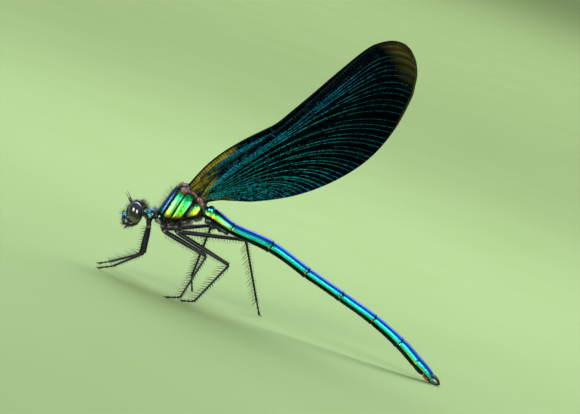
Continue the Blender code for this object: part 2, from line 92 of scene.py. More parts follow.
# Neck and prothorax: place along X, height of the middle, half height, half width
NECK_SLICES = ((-19.9, 8.25, 0.3, 0.34), (-19.4, 8.28, 0.27, 0.3), (-19.2, 8.32, 0.3, 0.34))
PROTHORAX_SLICES = (
    (-19.12, 8.35, 0.62, 0.74), (-18.98, 8.38, 0.58, 0.7), (-18.8, 8.44, 0.7, 0.84),
    (-18.5, 8.46, 0.7, 0.86), (-18.35, 8.48, 0.58, 0.74), (-18.22, 8.55, 0.64, 0.82),
    (-18.08, 8.6, 0.55, 0.7), (-17.6, 8.7, 0.45, 0.55), (-17.2, 8.8, 0.4, 0.5),
)
NECK_RING_POINTS = 40

# Thorax: bottom X and Z, top X and Z and half width of each slanted slice, from the front to the back
THORAX_SLICES = (
    (-18.1, 8.95, -17.05, 12.3, 0.5), (-17.9, 8.5, -16.7, 12.95, 1.05), (-17.3, 8.1, -16.1, 13.2, 1.42),
    (-16.6, 7.98, -15.4, 13.2, 1.64), (-15.6, 8.35, -14.5, 12.95, 1.7), (-14.6, 8.9, -13.6, 12.6, 1.64),
    (-13.6, 9.4, -12.9, 12.3, 1.55), (-12.8, 9.85, -12.4, 11.95, 1.25), (-12.4, 10.15, -12.2, 11.5, 0.8),
)
THORAX_SUTURES = (1.85, 3.3, 4.85)
SUTURE_DEPTH = 0.12
SUTURE_HALF_WIDTH = 0.2
PLATE_BULGE = 0.06
THORAX_STATIONS = 140
THORAX_RING_POINTS = 96
THORAX_SQUARENESS = 2.9
THORAX_TOP_TAPER = 0.1
# Half width and softness of the black line at each seam, and of the painted shade beside it
SEAM_LINES = ((0.2, 0.04), (0.075, 0.03), (0.34, 0.06))
SEAM_SHADES = ((0.3, 0.28), (0.2, 0.2), (0.36, 0.3))
HIP_RINGS = ((-16.67, 1.52, 7.72), (-15.02, 1.52, 8.2))

# Abdomen: length, slope in degrees, and full depth at the front, middle and back of each segment
ABDOMEN_START = Vector((-11.95, 0.0, 11.0))
ABDOMEN_SEGMENTS = (
    (0.95, -7.0, 1.75, 1.85, 1.88), (2.73, -14.4, 1.86, 1.8, 1.52), (5.41, -5.5, 1.5, 1.46, 1.5),
    (5.58, -16.8, 1.42, 1.3, 1.34), (5.21, -15.6, 1.3, 1.24, 1.3), (4.98, -16.6, 1.28, 1.26, 1.34),
    (4.37, -22.6, 1.32, 1.34, 1.44), (3.13, -29.9, 1.44, 1.52, 1.58), (1.69, -27.5, 1.56, 1.52, 1.4),
    (1.45, -33.0, 1.38, 1.24, 0.98),
)
ABDOMEN_WIDTH_SHARE = 0.94
ABDOMEN_RING_POINTS = 64
ABDOMEN_SQUARENESS = 2.3
ABDOMEN_ROOT_LENGTH = 0.9
# How far along a segment each ring lies, and its size against the segment's own depth there
SEGMENT_RINGS = (
    (0.0, 0.9), (0.015, 0.97), (0.04, 0.985), (0.1, 1.0), (0.2, 1.0), (0.3, 1.0), (0.4, 1.0), (0.5, 1.0),
    (0.6, 1.0), (0.7, 1.0), (0.8, 1.0), (0.88, 1.005), (0.94, 1.03), (0.965, 1.05), (0.985, 1.03),
    (0.996, 0.92),
)
TERGUM_EDGE = 0.72
TERGUM_STEP = 0.045
# The belly's extra depth, and where along the segments it starts and ends, with the width of each change
BELLY_DEPTH = 0.2
BELLY_START = (1.7, 0.8)
BELLY_END = (8.2, 1.5)
# Where the front's colours end and the tail's begin, with the width of each change
FRONT_END = (2.25, 0.9)
REAR_START = (6.7, 0.9)

CLASPER_POINTS = (
    (20.9, 0.3, 1.02), (21.5, 0.42, 0.98), (21.98, 0.46, 0.82), (22.38, 0.36, 0.5), (22.62, 0.2, 0.22))
CLASPER_RADII = (0.2, 0.17, 0.16, 0.15, 0.1)
LOWER_CLASPER_POINTS = ((20.9, 0.22, 0.46), (21.45, 0.34, 0.27), (22.0, 0.34, 0.16), (22.5, 0.2, 0.13))
LOWER_CLASPER_RADII = (0.18, 0.15, 0.14, 0.1)

# Limbs and tubes: sides, angles of the rings that round off a limb's end, length of a limb's steps, and
# steps between two points of a tube
LIMB_SIDES = 16
CAP_ANGLES = (78, 50, 25)
LIMB_STEP = 0.25
FEWEST_LIMB_STEPS = 10
TUBE_STEPS = 4

# Legs: where each one bends, from inside the body to the toe
LEGS = {
    "front_left": (
        (-18.6, -0.3, 8.1), (-18.5, -0.8, 7.5), (-18.3, -1.05, 7.15), (-17.7, -2.8, 4.0),
        (-20.9, -2.0, 1.05), (-22.6, -1.7, 0.05)),
    "front_right": (
        (-18.6, 0.3, 8.1), (-18.55, 0.8, 7.4), (-18.45, 1.05, 6.9), (-18.35, 2.8, 2.9),
        (-21.6, 2.2, 0.8), (-22.9, 1.9, 0.05)),
    "middle_left": (
        (-16.6, -0.5, 8.6), (-16.6, -1.1, 7.65), (-16.3, -1.4, 7.24), (-10.25, -4.2, 6.46),
        (-11.6, -5.2, 0.6), (-13.3, -5.6, 0.05)),
    "middle_right": (
        (-16.6, 0.5, 8.6), (-16.55, 1.1, 7.6), (-16.3, 1.4, 7.2), (-11.05, 3.6, 9.2),
        (-11.35, 4.8, 2.0), (-10.7, 5.45, 0.05)),
    "hind_left": (
        (-15.0, -0.5, 9.1), (-15.0, -1.1, 8.1), (-14.75, -1.4, 7.65), (-7.2, -4.4, 6.35),
        (-9.85, -4.5, 0.6), (-11.4, -4.3, 0.05)),
    "hind_right": (
        (-15.0, 0.5, 9.1), (-14.9, 1.1, 8.05), (-14.6, 1.4, 7.4), (-6.35, 4.0, 8.85),
        (-2.45, 4.6, 1.7), (-1.6, 5.0, 0.05)),
}
# Radius of each leg piece by share of its length
COXA_PROFILE = ((0.0, 0.44), (0.5, 0.46), (1.0, 0.36))
FRONT_COXA_PROFILE = ((0.0, 0.36), (0.5, 0.37), (1.0, 0.3))
TROCHANTER_PROFILE = ((0.0, 0.3), (0.5, 0.33), (1.0, 0.29))
HIP_RING_LENGTH = 0.36
HIP_RING_PROFILE = ((0.0, 0.3), (1.0, 0.29))
FEMUR_PROFILE = (
    (0.0, 0.22), (0.08, 0.28), (0.3, 0.31), (0.6, 0.27), (0.88, 0.22), (0.95, 0.25), (1.0, 0.23))
TIBIA_PROFILE = (
    (0.0, 0.2), (0.03, 0.2), (0.08, 0.15), (0.5, 0.135), (0.93, 0.13), (0.97, 0.16), (1.0, 0.15))
TARSUS_SHARES = (0.0, 0.24, 0.56, 1.0)
TARSUS_PROFILE = ((0.0, 0.1), (0.2, 0.11), (0.8, 0.135), (1.0, 0.13))
TARSUS_SIDES = 12
# How far the two hip pieces reach into the next piece of the leg
COXA_OVERLAP = 0.25
TROCHANTER_OVERLAP = 0.15
CLAW_LENGTH = 0.36
CLAW_RADIUS = 0.045
CLAW_SPREAD = 0.5
CLAW_ARCH = 0.05

# Wings: each lies in a plane of its own, at the distance called layer from the middle plane.
# Places on a wing are the distance out along its axis and the distance forward of it.
WING_AXIS_ANGLE = math.radians(50.4)
WINGS = {
    "fore": {
        "root": Vector((-14.9, 0.0, 13.1)), "layer": 0.47, "root_layer": 0.5,
        "root_line": ((-0.9, 0.25), (-0.7, -0.95)),
        "leading": ((-0.9, 0.25), (2.7, 1.4), (5.4, 1.83), (8.5, 1.87), (11.5, 1.64), (13.4, 1.5),
                    (16.1, 1.86), (19.0, 2.3), (24.4, 3.2), (28.3, 3.66), (30.1, 3.35), (31.4, 2.72),
                    (32.25, 1.75), (32.55, 0.65)),
        "margin": ((32.55, 0.65), (32.4, -0.6), (31.8, -2.0), (30.85, -3.15), (29.3, -4.3), (25.3, -6.3),
                   (20.8, -7.5), (16.0, -7.6), (11.5, -6.6), (7.0, -4.75), (3.2, -2.6)),
        "amber": ((0.0, 7.4), (0.045, 7.0), (0.06, 3.0), (0.1, 3.0), (0.13, 4.8), (0.22, 4.4), (0.36, 2.6),
                  (0.6, 1.4), (1.0, 1.0)),
        "nodus": 0.385,
        "seed": 11,
    },
    "hind": {
        "root": Vector((-12.9, 0.0, 12.4)), "layer": 1.4, "root_layer": 1.4,
        "root_line": ((-1.0, 0.5), (-0.9, 0.05)),
        "leading": ((-1.0, 0.5), (0.5, 1.0), (1.2, 1.36), (3.0, 1.96), (5.7, 2.5), (8.5, 2.65), (12.0, 2.8),
                    (14.5, 3.05), (18.0, 3.75), (23.0, 4.75), (26.6, 5.4), (28.4, 5.4), (30.0, 4.8),
                    (31.1, 3.8), (31.55, 2.6)),
        "margin": ((31.55, 2.6), (31.5, 1.35), (31.0, 0.0), (30.1, -1.15), (28.9, -2.3), (25.0, -4.6),
                   (20.5, -6.05), (15.8, -6.25), (10.7, -5.4), (5.6, -3.35), (2.8, -1.55)),
        "amber": ((0.0, 2.8), (0.05, 2.6), (0.09, 0.6), (0.6, 0.5), (0.9, 1.2), (0.97, 3.4), (1.0, 4.0)),
        "nodus": 0.375,
        "seed": 23,
    },
}
VEIN_LINES = (
    0.0, 0.05, 0.1, 0.16, 0.22, 0.3, 0.37, 0.44, 0.51, 0.58, 0.65, 0.72, 0.79, 0.85, 0.91, 0.96, 1.0)
VEIN_START_ANGLES = ((0.0, 22.0), (0.15, 12.0), (0.5, -3.0), (0.8, -10.0), (1.0, -15.0))
VEIN_END_ANGLES = (
    (0.0, -70.0), (0.08, -48.0), (0.25, -46.0), (0.5, -58.0), (0.75, -70.0), (0.9, -75.0), (1.0, -40.0))
START_PULL = 0.42
END_PULL = 0.3
WING_BEND_LENGTH = 2.6
LINES_PER_VEIN = 6
LINE_COUNT = (len(VEIN_LINES) - 1) * LINES_PER_VEIN
MEMBRANE_STATIONS = 110
MEMBRANE_THICKNESS = 0.03
CORRUGATION = 0.07
CAMBER = 0.12
VEIN_STEPS = 76
UNEVENNESS = 0.3
# Rungs, the short cross veins; the costal ones lie behind the leading edge
RUNG_SPACING = 0.31
RUNG_RADIUS = 0.018
RUNG_START = 0.08
RUNG_END = 0.995
COSTAL_RUNG_SPACING = 0.37
COSTAL_RUNG_RADIUS = 0.072
COSTAL_RUNG_START = 0.03
SHORTEST_LINE = 4.0
LEAN_STEP = 0.004
LARGEST_LEAN = 0.03
# For each rank of vein: radius, the share of the way out where it begins, how much that varies, brightness
# The brightness is painted light: veins on the pleat crests bright as lit, veins in the folds dark as shaded
VEIN_RANKS = {
    "trunk": (0.056, 0.0, 0.0, 0.9), "main": (0.052, 0.07, 0.05, 1.0),
    "bright": (0.042, 0.5, 0.3, 0.9), "dim": (0.018, 0.55, 0.2, 0.0)}
LINES_PER_TRUNK = 24
TRUNK_SWELL = 0.05
# Fine lines just behind the leading edge begin later than the rank says
LATE_RANK = 0.2
LATE_START = 0.3
COSTA_RADIUS = 0.095
COSTA_SHINE = 0.05
NODUS_RADIUS = 0.1
NODUS_LEAN = 0.0016
MARGIN_RADIUS = 0.03
COSTAL_BAND = 0.05
# How wide the cells behind the leading edge are, by share of the way out
COSTAL_WIDTHS = ((0.0, 0.1), (0.08, 0.42), (0.2, 0.5), (0.38, 0.3), (0.7, 0.16), (1.0, 0.0))
# Where the brown of the tip starts on the way out, and how far it spreads back from the leading edge
BROWN_START = 0.865
BROWN_SPREAD = 0.15
PALE_EDGE = 0.99
LEADING_BLEND = 0.3
TONE_NAMES = ("amber", "tip", "bright", "root", "blue", "crest")

# Bristles, and the size of each one's patch and the margins on the bake map, whose whole side is 1
PATCH_SIZE = 0.003
COMB_MARGIN = 0.05
HAIR_MARGIN = 0.08
HAIR_TURN_SHARE = 0.9
COMB_STEPS = 12
COMB_ROWS = 8
COMB_ENDS = (0.06, 0.98)
BRISTLE_SPACING = 0.38
BRISTLE_LENGTH = 1.3
BRISTLE_RADIUS = 0.034
BRISTLE_BEND = 1.2
COMB_STRAY = 0.12
COMB_SEED = 4
HAIR_RADIUS = 0.011
HAIR_STRAY = 0.35
HAIR_SEED = 31


# Colours

def display(red, green, blue):
    """A colour as the eye reads it from 0 to 255, turned into the values that light works with."""
    def linear(value):
        value /= 255
        return value / 12.92 if value <= 0.04045 else ((value + 0.055) / 1.055) ** 2.4
    return linear(red), linear(green), linear(blue), 1.0


VIOLET_BLUE = display(34, 54, 168)
DEEP_BLUE = display(10, 66, 190)
BAND_BLUE = display(3, 60, 172)
SIDE_BLUE = display(3, 100, 196)
BELLY_BLACK = display(4, 5, 8)
DORSUM_BLUE = display(14, 62, 150)
NIGHT_BLUE = display(3, 24, 60)
TEAL_BLUE = display(4, 122, 176)
TEAL = display(6, 146, 150)
DEEP_TEAL = display(2, 92, 122)
SIDE_TEAL = display(1, 82, 116)
LOW_TEAL = display(3, 112, 112)
# The metal's own cyan, painted bright to stand in for a highlight
CYAN_AND_HIGHLIGHT = display(12, 168, 138)
TAIL_BROWN = display(84, 58, 42)
CORNER_PALE = display(196, 152, 72)
EMERALD = display(14, 165, 84)
LEAF_GREEN = display(90, 200, 40)
GOLD_GREEN = display(196, 208, 20)
GOLD = display(232, 178, 30)
PLATE_SHADE = display(2, 58, 34)
PLATE_EDGE_BLUE = display(4, 60, 110)
CUTICLE_BLACK = display(12, 14, 20)
LEG_BLACK = display(5, 7, 11)
LEG_BLUE = display(15, 21, 40)
EYE_BLACK = display(7, 6, 8)
EYE_BLOOM_AND_SKY_SHEEN = display(40, 50, 70)
EYE_GREY = display(112, 107, 98)
MEMBRANE_PALE = display(128, 112, 106)
MEMBRANE_DARK = display(52, 46, 46)
BEAD_PALE = display(176, 160, 150)
JAW_WHITE = display(232, 232, 222)
RUST = display(148, 72, 44)
RUST_DARK = display(58, 27, 18)
WING_BLACK = display(1, 6, 10)
WING_BLUE = display(1, 8, 15)
WING_SHEEN_TEAL = display(3, 98, 106)
WING_GLINT = display(25, 200, 206)
WING_SHEEN_BLUE = display(4, 90, 168)
VEIN_TEAL = display(12, 212, 216)
VEIN_GREEN = display(14, 214, 168)
VEIN_BLUE = display(8, 150, 214)
VEIN_DIM = display(4, 60, 62)
VEIN_DARK = display(2, 14, 19)
AMBER = display(192, 180, 60)
AMBER_DARK = display(116, 104, 30)
AMBER_BROWN = display(122, 114, 50)
FLOOR_COLOUR = display(136, 161, 105)
FLOOR_PALE = (1.0, 1.0, 1.0, 1.0)
HAIR_GREY = display(128, 126, 112)
STUDIO_LIGHT = display(226, 234, 214)

# Light and floor
STUDIO_STRENGTH = 0.42
SUN_POWER = 1.1
SUN_SOFTNESS = math.radians(30.0)
SUN_TURN = (math.radians(34.0), math.radians(-16.0), 0.0)
PLAIN_LIGHT = (1.0, 1.0, 1.0)
# Area lights: place, what they face, width and height, watts, colour, and whether they light dull surfaces
AREA_LIGHTS = {
    "back rim": ((4.0, 120.0, 220.0), (-4.0, 0.0, 12.0), (330.0, 150.0), 0.6, (0.86, 0.92, 1.0), True),
    "left diffuser": ((-119.0, -139.0, 38.0), HEAD_CENTRE, (100.0, 78.0), 0.33, PLAIN_LIGHT, False),
    "right diffuser": ((47.0, -157.0, 42.0), HEAD_CENTRE, (90.0, 82.0), 0.26, (1.0, 0.93, 0.95), False),
    "far fill": ((120.0, 760.0, 700.0), (100.0, 700.0, 0.0), (1700.0, 1100.0), 9.0, PLAIN_LIGHT, True),
}
FLOOR_SIZE = 6.0


# Numbers and curves

def curve_value(table, place):
    """Read a smooth curve through (place, value) pairs, whose values are numbers or vectors."""
    places = [row[0] for row in table]
    values = [row[1] for row in table]
    last = len(table) - 1
    place = min(max(place, places[0]), places[last])
    index = max(i for i in range(last) if places[i] <= place)

    def slope(i):
        before = max(i - 1, 0)
        after = min(i + 1, last)
        return (values[after] - values[before]) / (places[after] - places[before])

    span = places[index + 1] - places[index]
    t = (place - places[index]) / span
    start_share = 2 * t ** 3 - 3 * t ** 2 + 1
    start_slope_share = t ** 3 - 2 * t ** 2 + t
    end_slope_share = t ** 3 - t ** 2
    return (
        values[index] * start_share
        + slope(index) * (span * start_slope_share)
        + values[index + 1] * (1 - start_share)
        + slope(index + 1) * (span * end_slope_share)
    )


def straight_value(table, place):
    """Read straight lines through (place, number) pairs."""
    if place <= table[0][0]:
        return table[0][1]
    for (before, low), (after, high) in zip(table, table[1:]):
        if place <= after:
            return low + (high - low) * (place - before) / (after - before)
    return table[-1][1]


def smooth_step(value):
    value = min(max(value, 0.0), 1.0)
    return value * value * (3 - 2 * value)


def rise(value, start, width):
    """A smooth change from 0 at start to 1 at start + width."""
    return smooth_step((value - start) / width)


def fall(value, end, width):
    """A smooth change from 1 at end - width to 0 at end."""
    return smooth_step((end - value) / width)


def numbered(values):
    """Pair each value with its number, as curve_value reads them."""
    return [(float(number), value) for number, value in enumerate(values)]


def signed_power(value, power):
    return math.copysign(abs(value) ** power, value)


def slope_vector(degrees):
    angle = math.radians(degrees)
    return Vector((math.cos(angle), 0.0, math.sin(angle)))


def mirrored(point, side):
    return Vector((point[0], point[1] * side, point[2]))


def oval_ring(centre, up, side, count, squareness=2.0, top_taper=0.0):
    """Points round a rounded section, from its top; the taper makes it narrower there."""
    ring = []
    for index in range(count):
        angle = 2 * math.pi * index / count
        height = signed_power(math.cos(angle), 2 / squareness)
        reach = signed_power(math.sin(angle), 2 / squareness)
        ring.append(centre + up * height + side * (reach * (1 - top_taper * height)))
    return ring


def tube_rings(points, radii, count):
    """Rings square to a line of points, turned as little as possible from one to the next."""
    points = [Vector(point) for point in points]
    rings = []
    side = None
    last = len(points) - 1
    for index, point in enumerate(points):
        direction = (points[min(index + 1, last)] - points[max(index - 1, 0)]).normalized()
        if side is None:
            side = direction.cross(Vector((0.0, 0.0, 1.0))).normalized()
        side = (side - direction * side.dot(direction)).normalized()
        rings.append(oval_ring(point, side * radii[index], direction.cross(side) * radii[index], count))
    return rings


class Shell:
    """Closed forms gathered into one mesh, with named values at their points for the finishes to read."""

    def __init__(self, *value_names):
        self.points = []
        self.faces = []
        self.finish_numbers = []
        self.values = {name: [] for name in value_names}

    def add_point(self, place, values):
        self.points.append(Vector(place) * MM)
        for name, stored in self.values.items():
            stored.append(values.get(name, 0.0))
        return len(self.points) - 1

    def add_face(self, corners, finish):
        self.faces.append(corners)
        self.finish_numbers.append(finish)

    def add_rings(self, rings, finish=0, ring_values=None):
        """Join rings of equal count into a closed skin. Each ring starts at its top."""
        count = len(rings[0])
        ring_values = ring_values or [{}] * len(rings)
        rows = []
        for ring, values in zip(rings, ring_values):
            rows.append([
                self.add_point(point, dict(values, around=1 - abs(1 - 2 * index / count)))
                for index, point in enumerate(ring)])
        for lower, upper in zip(rows, rows[1:]):
            for index in range(count):
                follow = (index + 1) % count
                self.add_face((lower[index], lower[follow], upper[follow], upper[index]), finish)
        for number in (0, -1):
            hub = self.add_point(sum(rings[number], Vector()) / count, ring_values[number])
            row = rows[number]
            for index in range(count):
                self.add_face((hub, row[index], row[(index + 1) % count]), finish)

    def add_dome(self, centre, radii, lean=0.0, squareness=2.0, rows=14, columns=28, finish=0):
        """A rounded block: an ellipsoid, or a squarer form. It leans about Y, in degrees."""
        rotation = Matrix.Rotation(math.radians(lean), 3, "Y")
        rings = []
        for row in range(rows):
            latitude = math.pi * (row + 0.5) / rows - math.pi / 2
            height = signed_power(math.sin(latitude), 2 / squareness)
            reach = signed_power(math.cos(latitude), 2 / squareness)
            ring = oval_ring(
                Vector((0.0, height, 0.0)), Vector((0.0, 0.0, reach)), Vector((reach, 0.0, 0.0)), columns,
                squareness)
            rings.append([
                Vector(centre) + rotation @ Vector((p.x * radii[0], p.y * radii[1], p.z * radii[2]))
                for p in ring])
        self.add_rings(rings, finish)

    def add_forms(self, forms, finish_names):
        """Domes from a table of forms, mirrored where they are on both sides."""
        for centre, radii, lean, squareness, paired, finish in forms.values():
            for side in (SIDES.values() if paired else (1.0,)):
                self.add_dome(
                    mirrored(centre, side), radii, lean, squareness, finish=finish_names.index(finish))

    def add_limb(self, start, end, profile, count=LIMB_SIDES, finish=0):
        """A limb piece with rounded ends. The profile lists (share of the length, radius)."""
        length = (end - start).length
        first, last = profile[0][1], profile[-1][1]

        def cap(radius, degrees):
            angle = math.radians(degrees)
            return radius * (1 - math.sin(angle)) / length, radius * math.cos(angle)

        stations = [cap(first, degrees) for degrees in CAP_ANGLES]
        steps = max(FEWEST_LIMB_STEPS, int(length / LIMB_STEP))
        for step in range(steps + 1):
            share = first / length + (1 - (first + last) / length) * step / steps
            stations.append((share, straight_value(profile, share)))
        for degrees in reversed(CAP_ANGLES):
            inset, radius = cap(last, degrees)
            stations.append((1 - inset, radius))
        points = [start.lerp(end, share) for share, _ in stations]
        self.add_rings(tube_rings(points, [radius for _, radius in stations], count), finish)

    def add_tube(self, points, radii, count=12, finish=0):
        """A tapered tube through the points of a smooth line."""
        places = numbered(Vector(point) for point in points)
        widths = numbered(radii)
        stations = [step / TUBE_STEPS for step in range((len(points) - 1) * TUBE_STEPS + 1)]
        line = [curve_value(places, station) for station in stations]
        line_radii = [curve_value(widths, station) for station in stations]
        self.add_rings(tube_rings(line, line_radii, count), finish)

    def absorb(self, other):
        """Take another shell's forms into this one. Their named values are all 0."""
        start = len(self.points)
        self.points += other.points
        for stored in self.values.values():
            stored.extend([0.0] * len(other.points))
        for corners, finish in zip(other.faces, other.finish_numbers):
            self.add_face([start + corner for corner in corners], finish)

    def grown_together(self):
        """The same forms as one soft skin. Each face keeps the finish of the form that it lies on."""
        places = [point / MM for point in self.points]
        mesh = bpy.data.meshes.new("forms")
        mesh.from_pydata(places, [], self.faces)
        base = add_object("forms", mesh)
        grow = base.modifiers.new("grow together", "REMESH")
        grow.mode = "VOXEL"
        grow.voxel_size = MELT_CELL
        skin = bmesh.new()
        skin.from_object(base, bpy.context.evaluated_depsgraph_get())
        bpy.data.objects.remove(base, do_unlink=True)
        for _ in range(MELT_ROUNDS):
            bmesh.ops.smooth_vert(
                skin, verts=skin.verts, factor=0.5, use_axis_x=True, use_axis_y=True, use_axis_z=True)
        forms = BVHTree.FromPolygons(places, self.faces)
        soft = Shell()
        for vertex in skin.verts:
            soft.add_point(vertex.co, {})
        for face in skin.faces:
            near = forms.find_nearest(face.calc_center_median())[2]
            soft.add_face([vertex.index for vertex in face.verts], self.finish_numbers[near])
        skin.free()
        return soft

    def piece(self, name, finishes, sharp_degrees=50.0):
        mesh = bpy.data.meshes.new(name)
        mesh.from_pydata(self.points, [], self.faces)
        store_values(mesh, self.values)
        mesh.polygons.foreach_set("material_index", self.finish_numbers)
        shape = bmesh.new()
        shape.from_mesh(mesh)
        bmesh.ops.recalc_face_normals(shape, faces=shape.faces)
        shape.to_mesh(mesh)
        shape.free()
        mesh.shade_smooth()
        mesh.set_sharp_from_angle(angle=math.radians(sharp_degrees))
        for finish in finishes:
            mesh.materials.append(finish)
        return add_object(name, mesh)


def store_values(mesh, values):
    for name, stored in values.items():
        mesh.attributes.new(name, "FLOAT", "POINT").data.foreach_set("value", stored)


def add_object(name, data):
    item = bpy.data.objects.new(name, data)
    bpy.context.scene.collection.objects.link(item)
    return item


def settle(piece, slot, *nodes):
    """The piece rides on the still body and stands for the named solids; the slot is not used."""
    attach(piece, "root")
    if nodes:
        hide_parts(*nodes)
    return piece


# Nodes

def feed(tree, node, inputs):
    """Give each input of a node a value, or link it from another node's socket."""
    for key, value in inputs.items():
        if isinstance(value, bpy.types.NodeSocket):
            tree.links.new(value, node.inputs[key])
        else:
            node.inputs[key].default_value = value


def add_node(tree, kind, inputs, **settings):
    """Add a node with its settings and inputs, and return its outputs."""
    node = tree.nodes.new(kind)
    for name, value in settings.items():
        setattr(node, name, value)
    feed(tree, node, inputs)
    return node.outputs


def new_group(name, kind, inputs, outputs):
    """A node group with named sockets, and the outputs of its input node."""
    tree = bpy.data.node_groups.new(name, kind)
    for in_out, sockets in (("INPUT", inputs), ("OUTPUT", outputs)):
        for socket_name, socket_kind in sockets:
            tree.interface.new_socket(socket_name, in_out=in_out, socket_type="NodeSocket" + socket_kind)
    return tree, tree.nodes.new("NodeGroupInput").outputs


def maths(tree, operation, *values):
    return add_node(tree, "ShaderNodeMath", dict(enumerate(values)), operation=operation)[0]


def product(tree, first, second):
    return maths(tree, "MULTIPLY", first, second)


def most(tree, first, *others):
    """The highest of several masks."""
    for other in others:
        first = maths(tree, "MAXIMUM", first, other)
    return first


def vector_sum(tree, first, second):
    return add_node(tree, "ShaderNodeVectorMath", {0: first, 1: second}, operation="ADD")[0]


def scaled(tree, vector, scale):
    return add_node(tree, "ShaderNodeVectorMath", {0: vector, "Scale": scale}, operation="SCALE")[0]


# Node trees that make what repeats

SHAPE_SOCKET = (("Geometry", "Geometry"),)
BRISTLE_INPUTS = (
    ("Length", "Float"), ("Radius", "Float"), ("Bend", "Float"), ("Stray", "Float"), ("Seed", "Int"),
    ("Finish", "Material"))


def new_tree(name, inputs):
    return new_group(name, "GeometryNodeTree", SHAPE_SOCKET + inputs, SHAPE_SOCKET)


def end_tree(tree, geometry, material):
    smooth = add_node(tree, "GeometryNodeSetShadeSmooth", {"Geometry": geometry})
    real = add_node(tree, "GeometryNodeRealizeInstances", {"Geometry": smooth[0]})
    finish = add_node(tree, "GeometryNodeSetMaterial", {"Geometry": real[0], "Material": material})
    add_node(tree, "NodeGroupOutput", {0: finish[0]})
    return tree


def stored_value(tree, name, kind="FLOAT"):
    return add_node(tree, "GeometryNodeInputNamedAttribute", {"Name": name}, data_type=kind)[0]


def vein_tree():
    """Tubes along a wire mesh, as thick as its own thickness value says."""
    tree, given = new_tree("vein tubes", (("Sides", "Int"), ("Thickness", "Float"), ("Finish", "Material")))
    lines = add_node(tree, "GeometryNodeMeshToCurve", {"Mesh": given["Geometry"]})
    width = product(tree, stored_value(tree, "thickness"), given["Thickness"])
    sized = add_node(tree, "GeometryNodeSetCurveRadius", {"Curve": lines[0], "Radius": width})
    section = add_node(
        tree, "GeometryNodeCurvePrimitiveCircle", {"Resolution": given["Sides"], "Radius": 1.0})
    size = add_node(tree, "GeometryNodeInputRadius", {})
    tubes = add_node(tree, "GeometryNodeCurveToMesh", {
        "Curve": sized[0], "Profile Curve": section[0], "Scale": size[0], "Fill Caps": True})
    return end_tree(tree, tubes[0], given["Finish"])


def bristle_instances(tree, given, points, direction):
    """Bent, tapered bristles that stand on points along a direction, each a little different."""
    place = add_node(tree, "GeometryNodeInputPosition", {})[0]
    bare = add_node(tree, "GeometryNodeMeshCone", {
        "Vertices": 4, "Side Segments": 4, "Radius Top": 0.3, "Radius Bottom": 1.0, "Depth": 1.0})
    cone = add_node(tree, "GeometryNodeStoreNamedAttribute", {
        "Geometry": bare[0], "Name": "patch", "Value": place}, data_type="FLOAT_VECTOR")
    height = add_node(tree, "ShaderNodeSeparateXYZ", {0: place})["Z"]
    slide = product(tree, maths(tree, "POWER", height, 2.0), given["Bend"])
    shift = add_node(tree, "ShaderNodeCombineXYZ", {"X": slide})
    bent = add_node(tree, "GeometryNodeSetPosition", {"Geometry": cone[0], "Offset": shift[0]})
    jitter = add_node(tree, "FunctionNodeRandomValue", {
        "Min": (-1.0, -1.0, -1.0), "Max": (1.0, 1.0, 1.0), "Seed": given["Seed"]}, data_type="FLOAT_VECTOR")
    heading = vector_sum(tree, direction, scaled(tree, jitter[0], given["Stray"]))
    turned_to = add_node(tree, "FunctionNodeAlignRotationToVector", {"Vector": heading}, axis="Z")
    share = add_node(tree, "FunctionNodeRandomValue", {2: 0.75, 3: 1.15, "Seed": given["Seed"]})
    length = product(tree, product(tree, stored_value(tree, "reach"), share[1]), given["Length"])
    scale = add_node(tree, "ShaderNodeCombineXYZ", {"X": given["Radius"], "Y": given["Radius"], "Z": length})
    return add_node(tree, "GeometryNodeInstanceOnPoints", {
        "Points": points, "Instance": bent[0], "Rotation": turned_to[0], "Scale": scale[0]})[0]


def comb_tree():
    """A comb of bristles along each line of a wire mesh, in the direction stored there."""
    tree, given = new_tree("bristle combs", (("Spacing", "Float"),) + BRISTLE_INPUTS)
    lines = add_node(tree, "GeometryNodeMeshToCurve", {"Mesh": given["Geometry"]})
    spaced = add_node(
        tree, "GeometryNodeResampleCurve", {"Curve": lines[0], "Length": given["Spacing"]}, mode="LENGTH")
    heading = stored_value(tree, "heading", "FLOAT_VECTOR")
    bristles = bristle_instances(tree, given, spaced[0], heading)
    return end_tree(tree, bristles, given["Finish"])


def down_tree():
    """Fine hairs scattered over a skin where its reach value is above zero, leaning along one direction."""
    tree, given = new_tree("fine hairs", (("Density", "Float"), ("Lie", "Vector")) + BRISTLE_INPUTS)
    hairy = maths(tree, "GREATER_THAN", stored_value(tree, "reach"), 0.05)
    points = add_node(tree, "GeometryNodeDistributePointsOnFaces", {
        "Mesh": given["Geometry"], "Density": product(tree, hairy, given["Density"]), "Seed": given["Seed"]})
    heading = vector_sum(tree, points["Normal"], given["Lie"])
    hairs = bristle_instances(tree, given, points[0], heading)
    return end_tree(tree, hairs, given["Finish"])


def grown(name, base, tree, inputs):
    """Run a tree on an object and keep the result as a plain mesh in its place."""
    modifier = base.modifiers.new("grow", "NODES")
    modifier.node_group = tree
    identifiers = {
        item.name: item.identifier for item in tree.interface.items_tree if item.in_out == "INPUT"}
    for input_name, value in inputs.items():
        modifier[identifiers[input_name]] = value
    depsgraph = bpy.context.evaluated_depsgraph_get()
    mesh = bpy.data.meshes.new_from_object(base.evaluated_get(depsgraph))
    base.modifiers.clear()
    bpy.data.objects.remove(base, do_unlink=True)
    mesh.name = name
    while mesh.materials[0] is None:
        mesh.materials.pop(index=0)
    return add_object(name, mesh)


def map_bristles(piece):
    """Give each bristle a small patch of the bake map, at its root's place on the unwrapped skin."""
    mesh = piece.data
    roots = mesh.attributes["unwrap"].data
    patches = mesh.attributes["patch"].data
    layer = mesh.uv_layers.new(name="OFBake")
    for loop, spot in zip(mesh.loops, layer.data):
        across, over, along = patches[loop.vertex_index].vector
        root = roots[loop.vertex_index].vector
        spot.uv = (root[0] + PATCH_SIZE * across / 2, root[1] + PATCH_SIZE * (along + over * 0.2))
    return piece


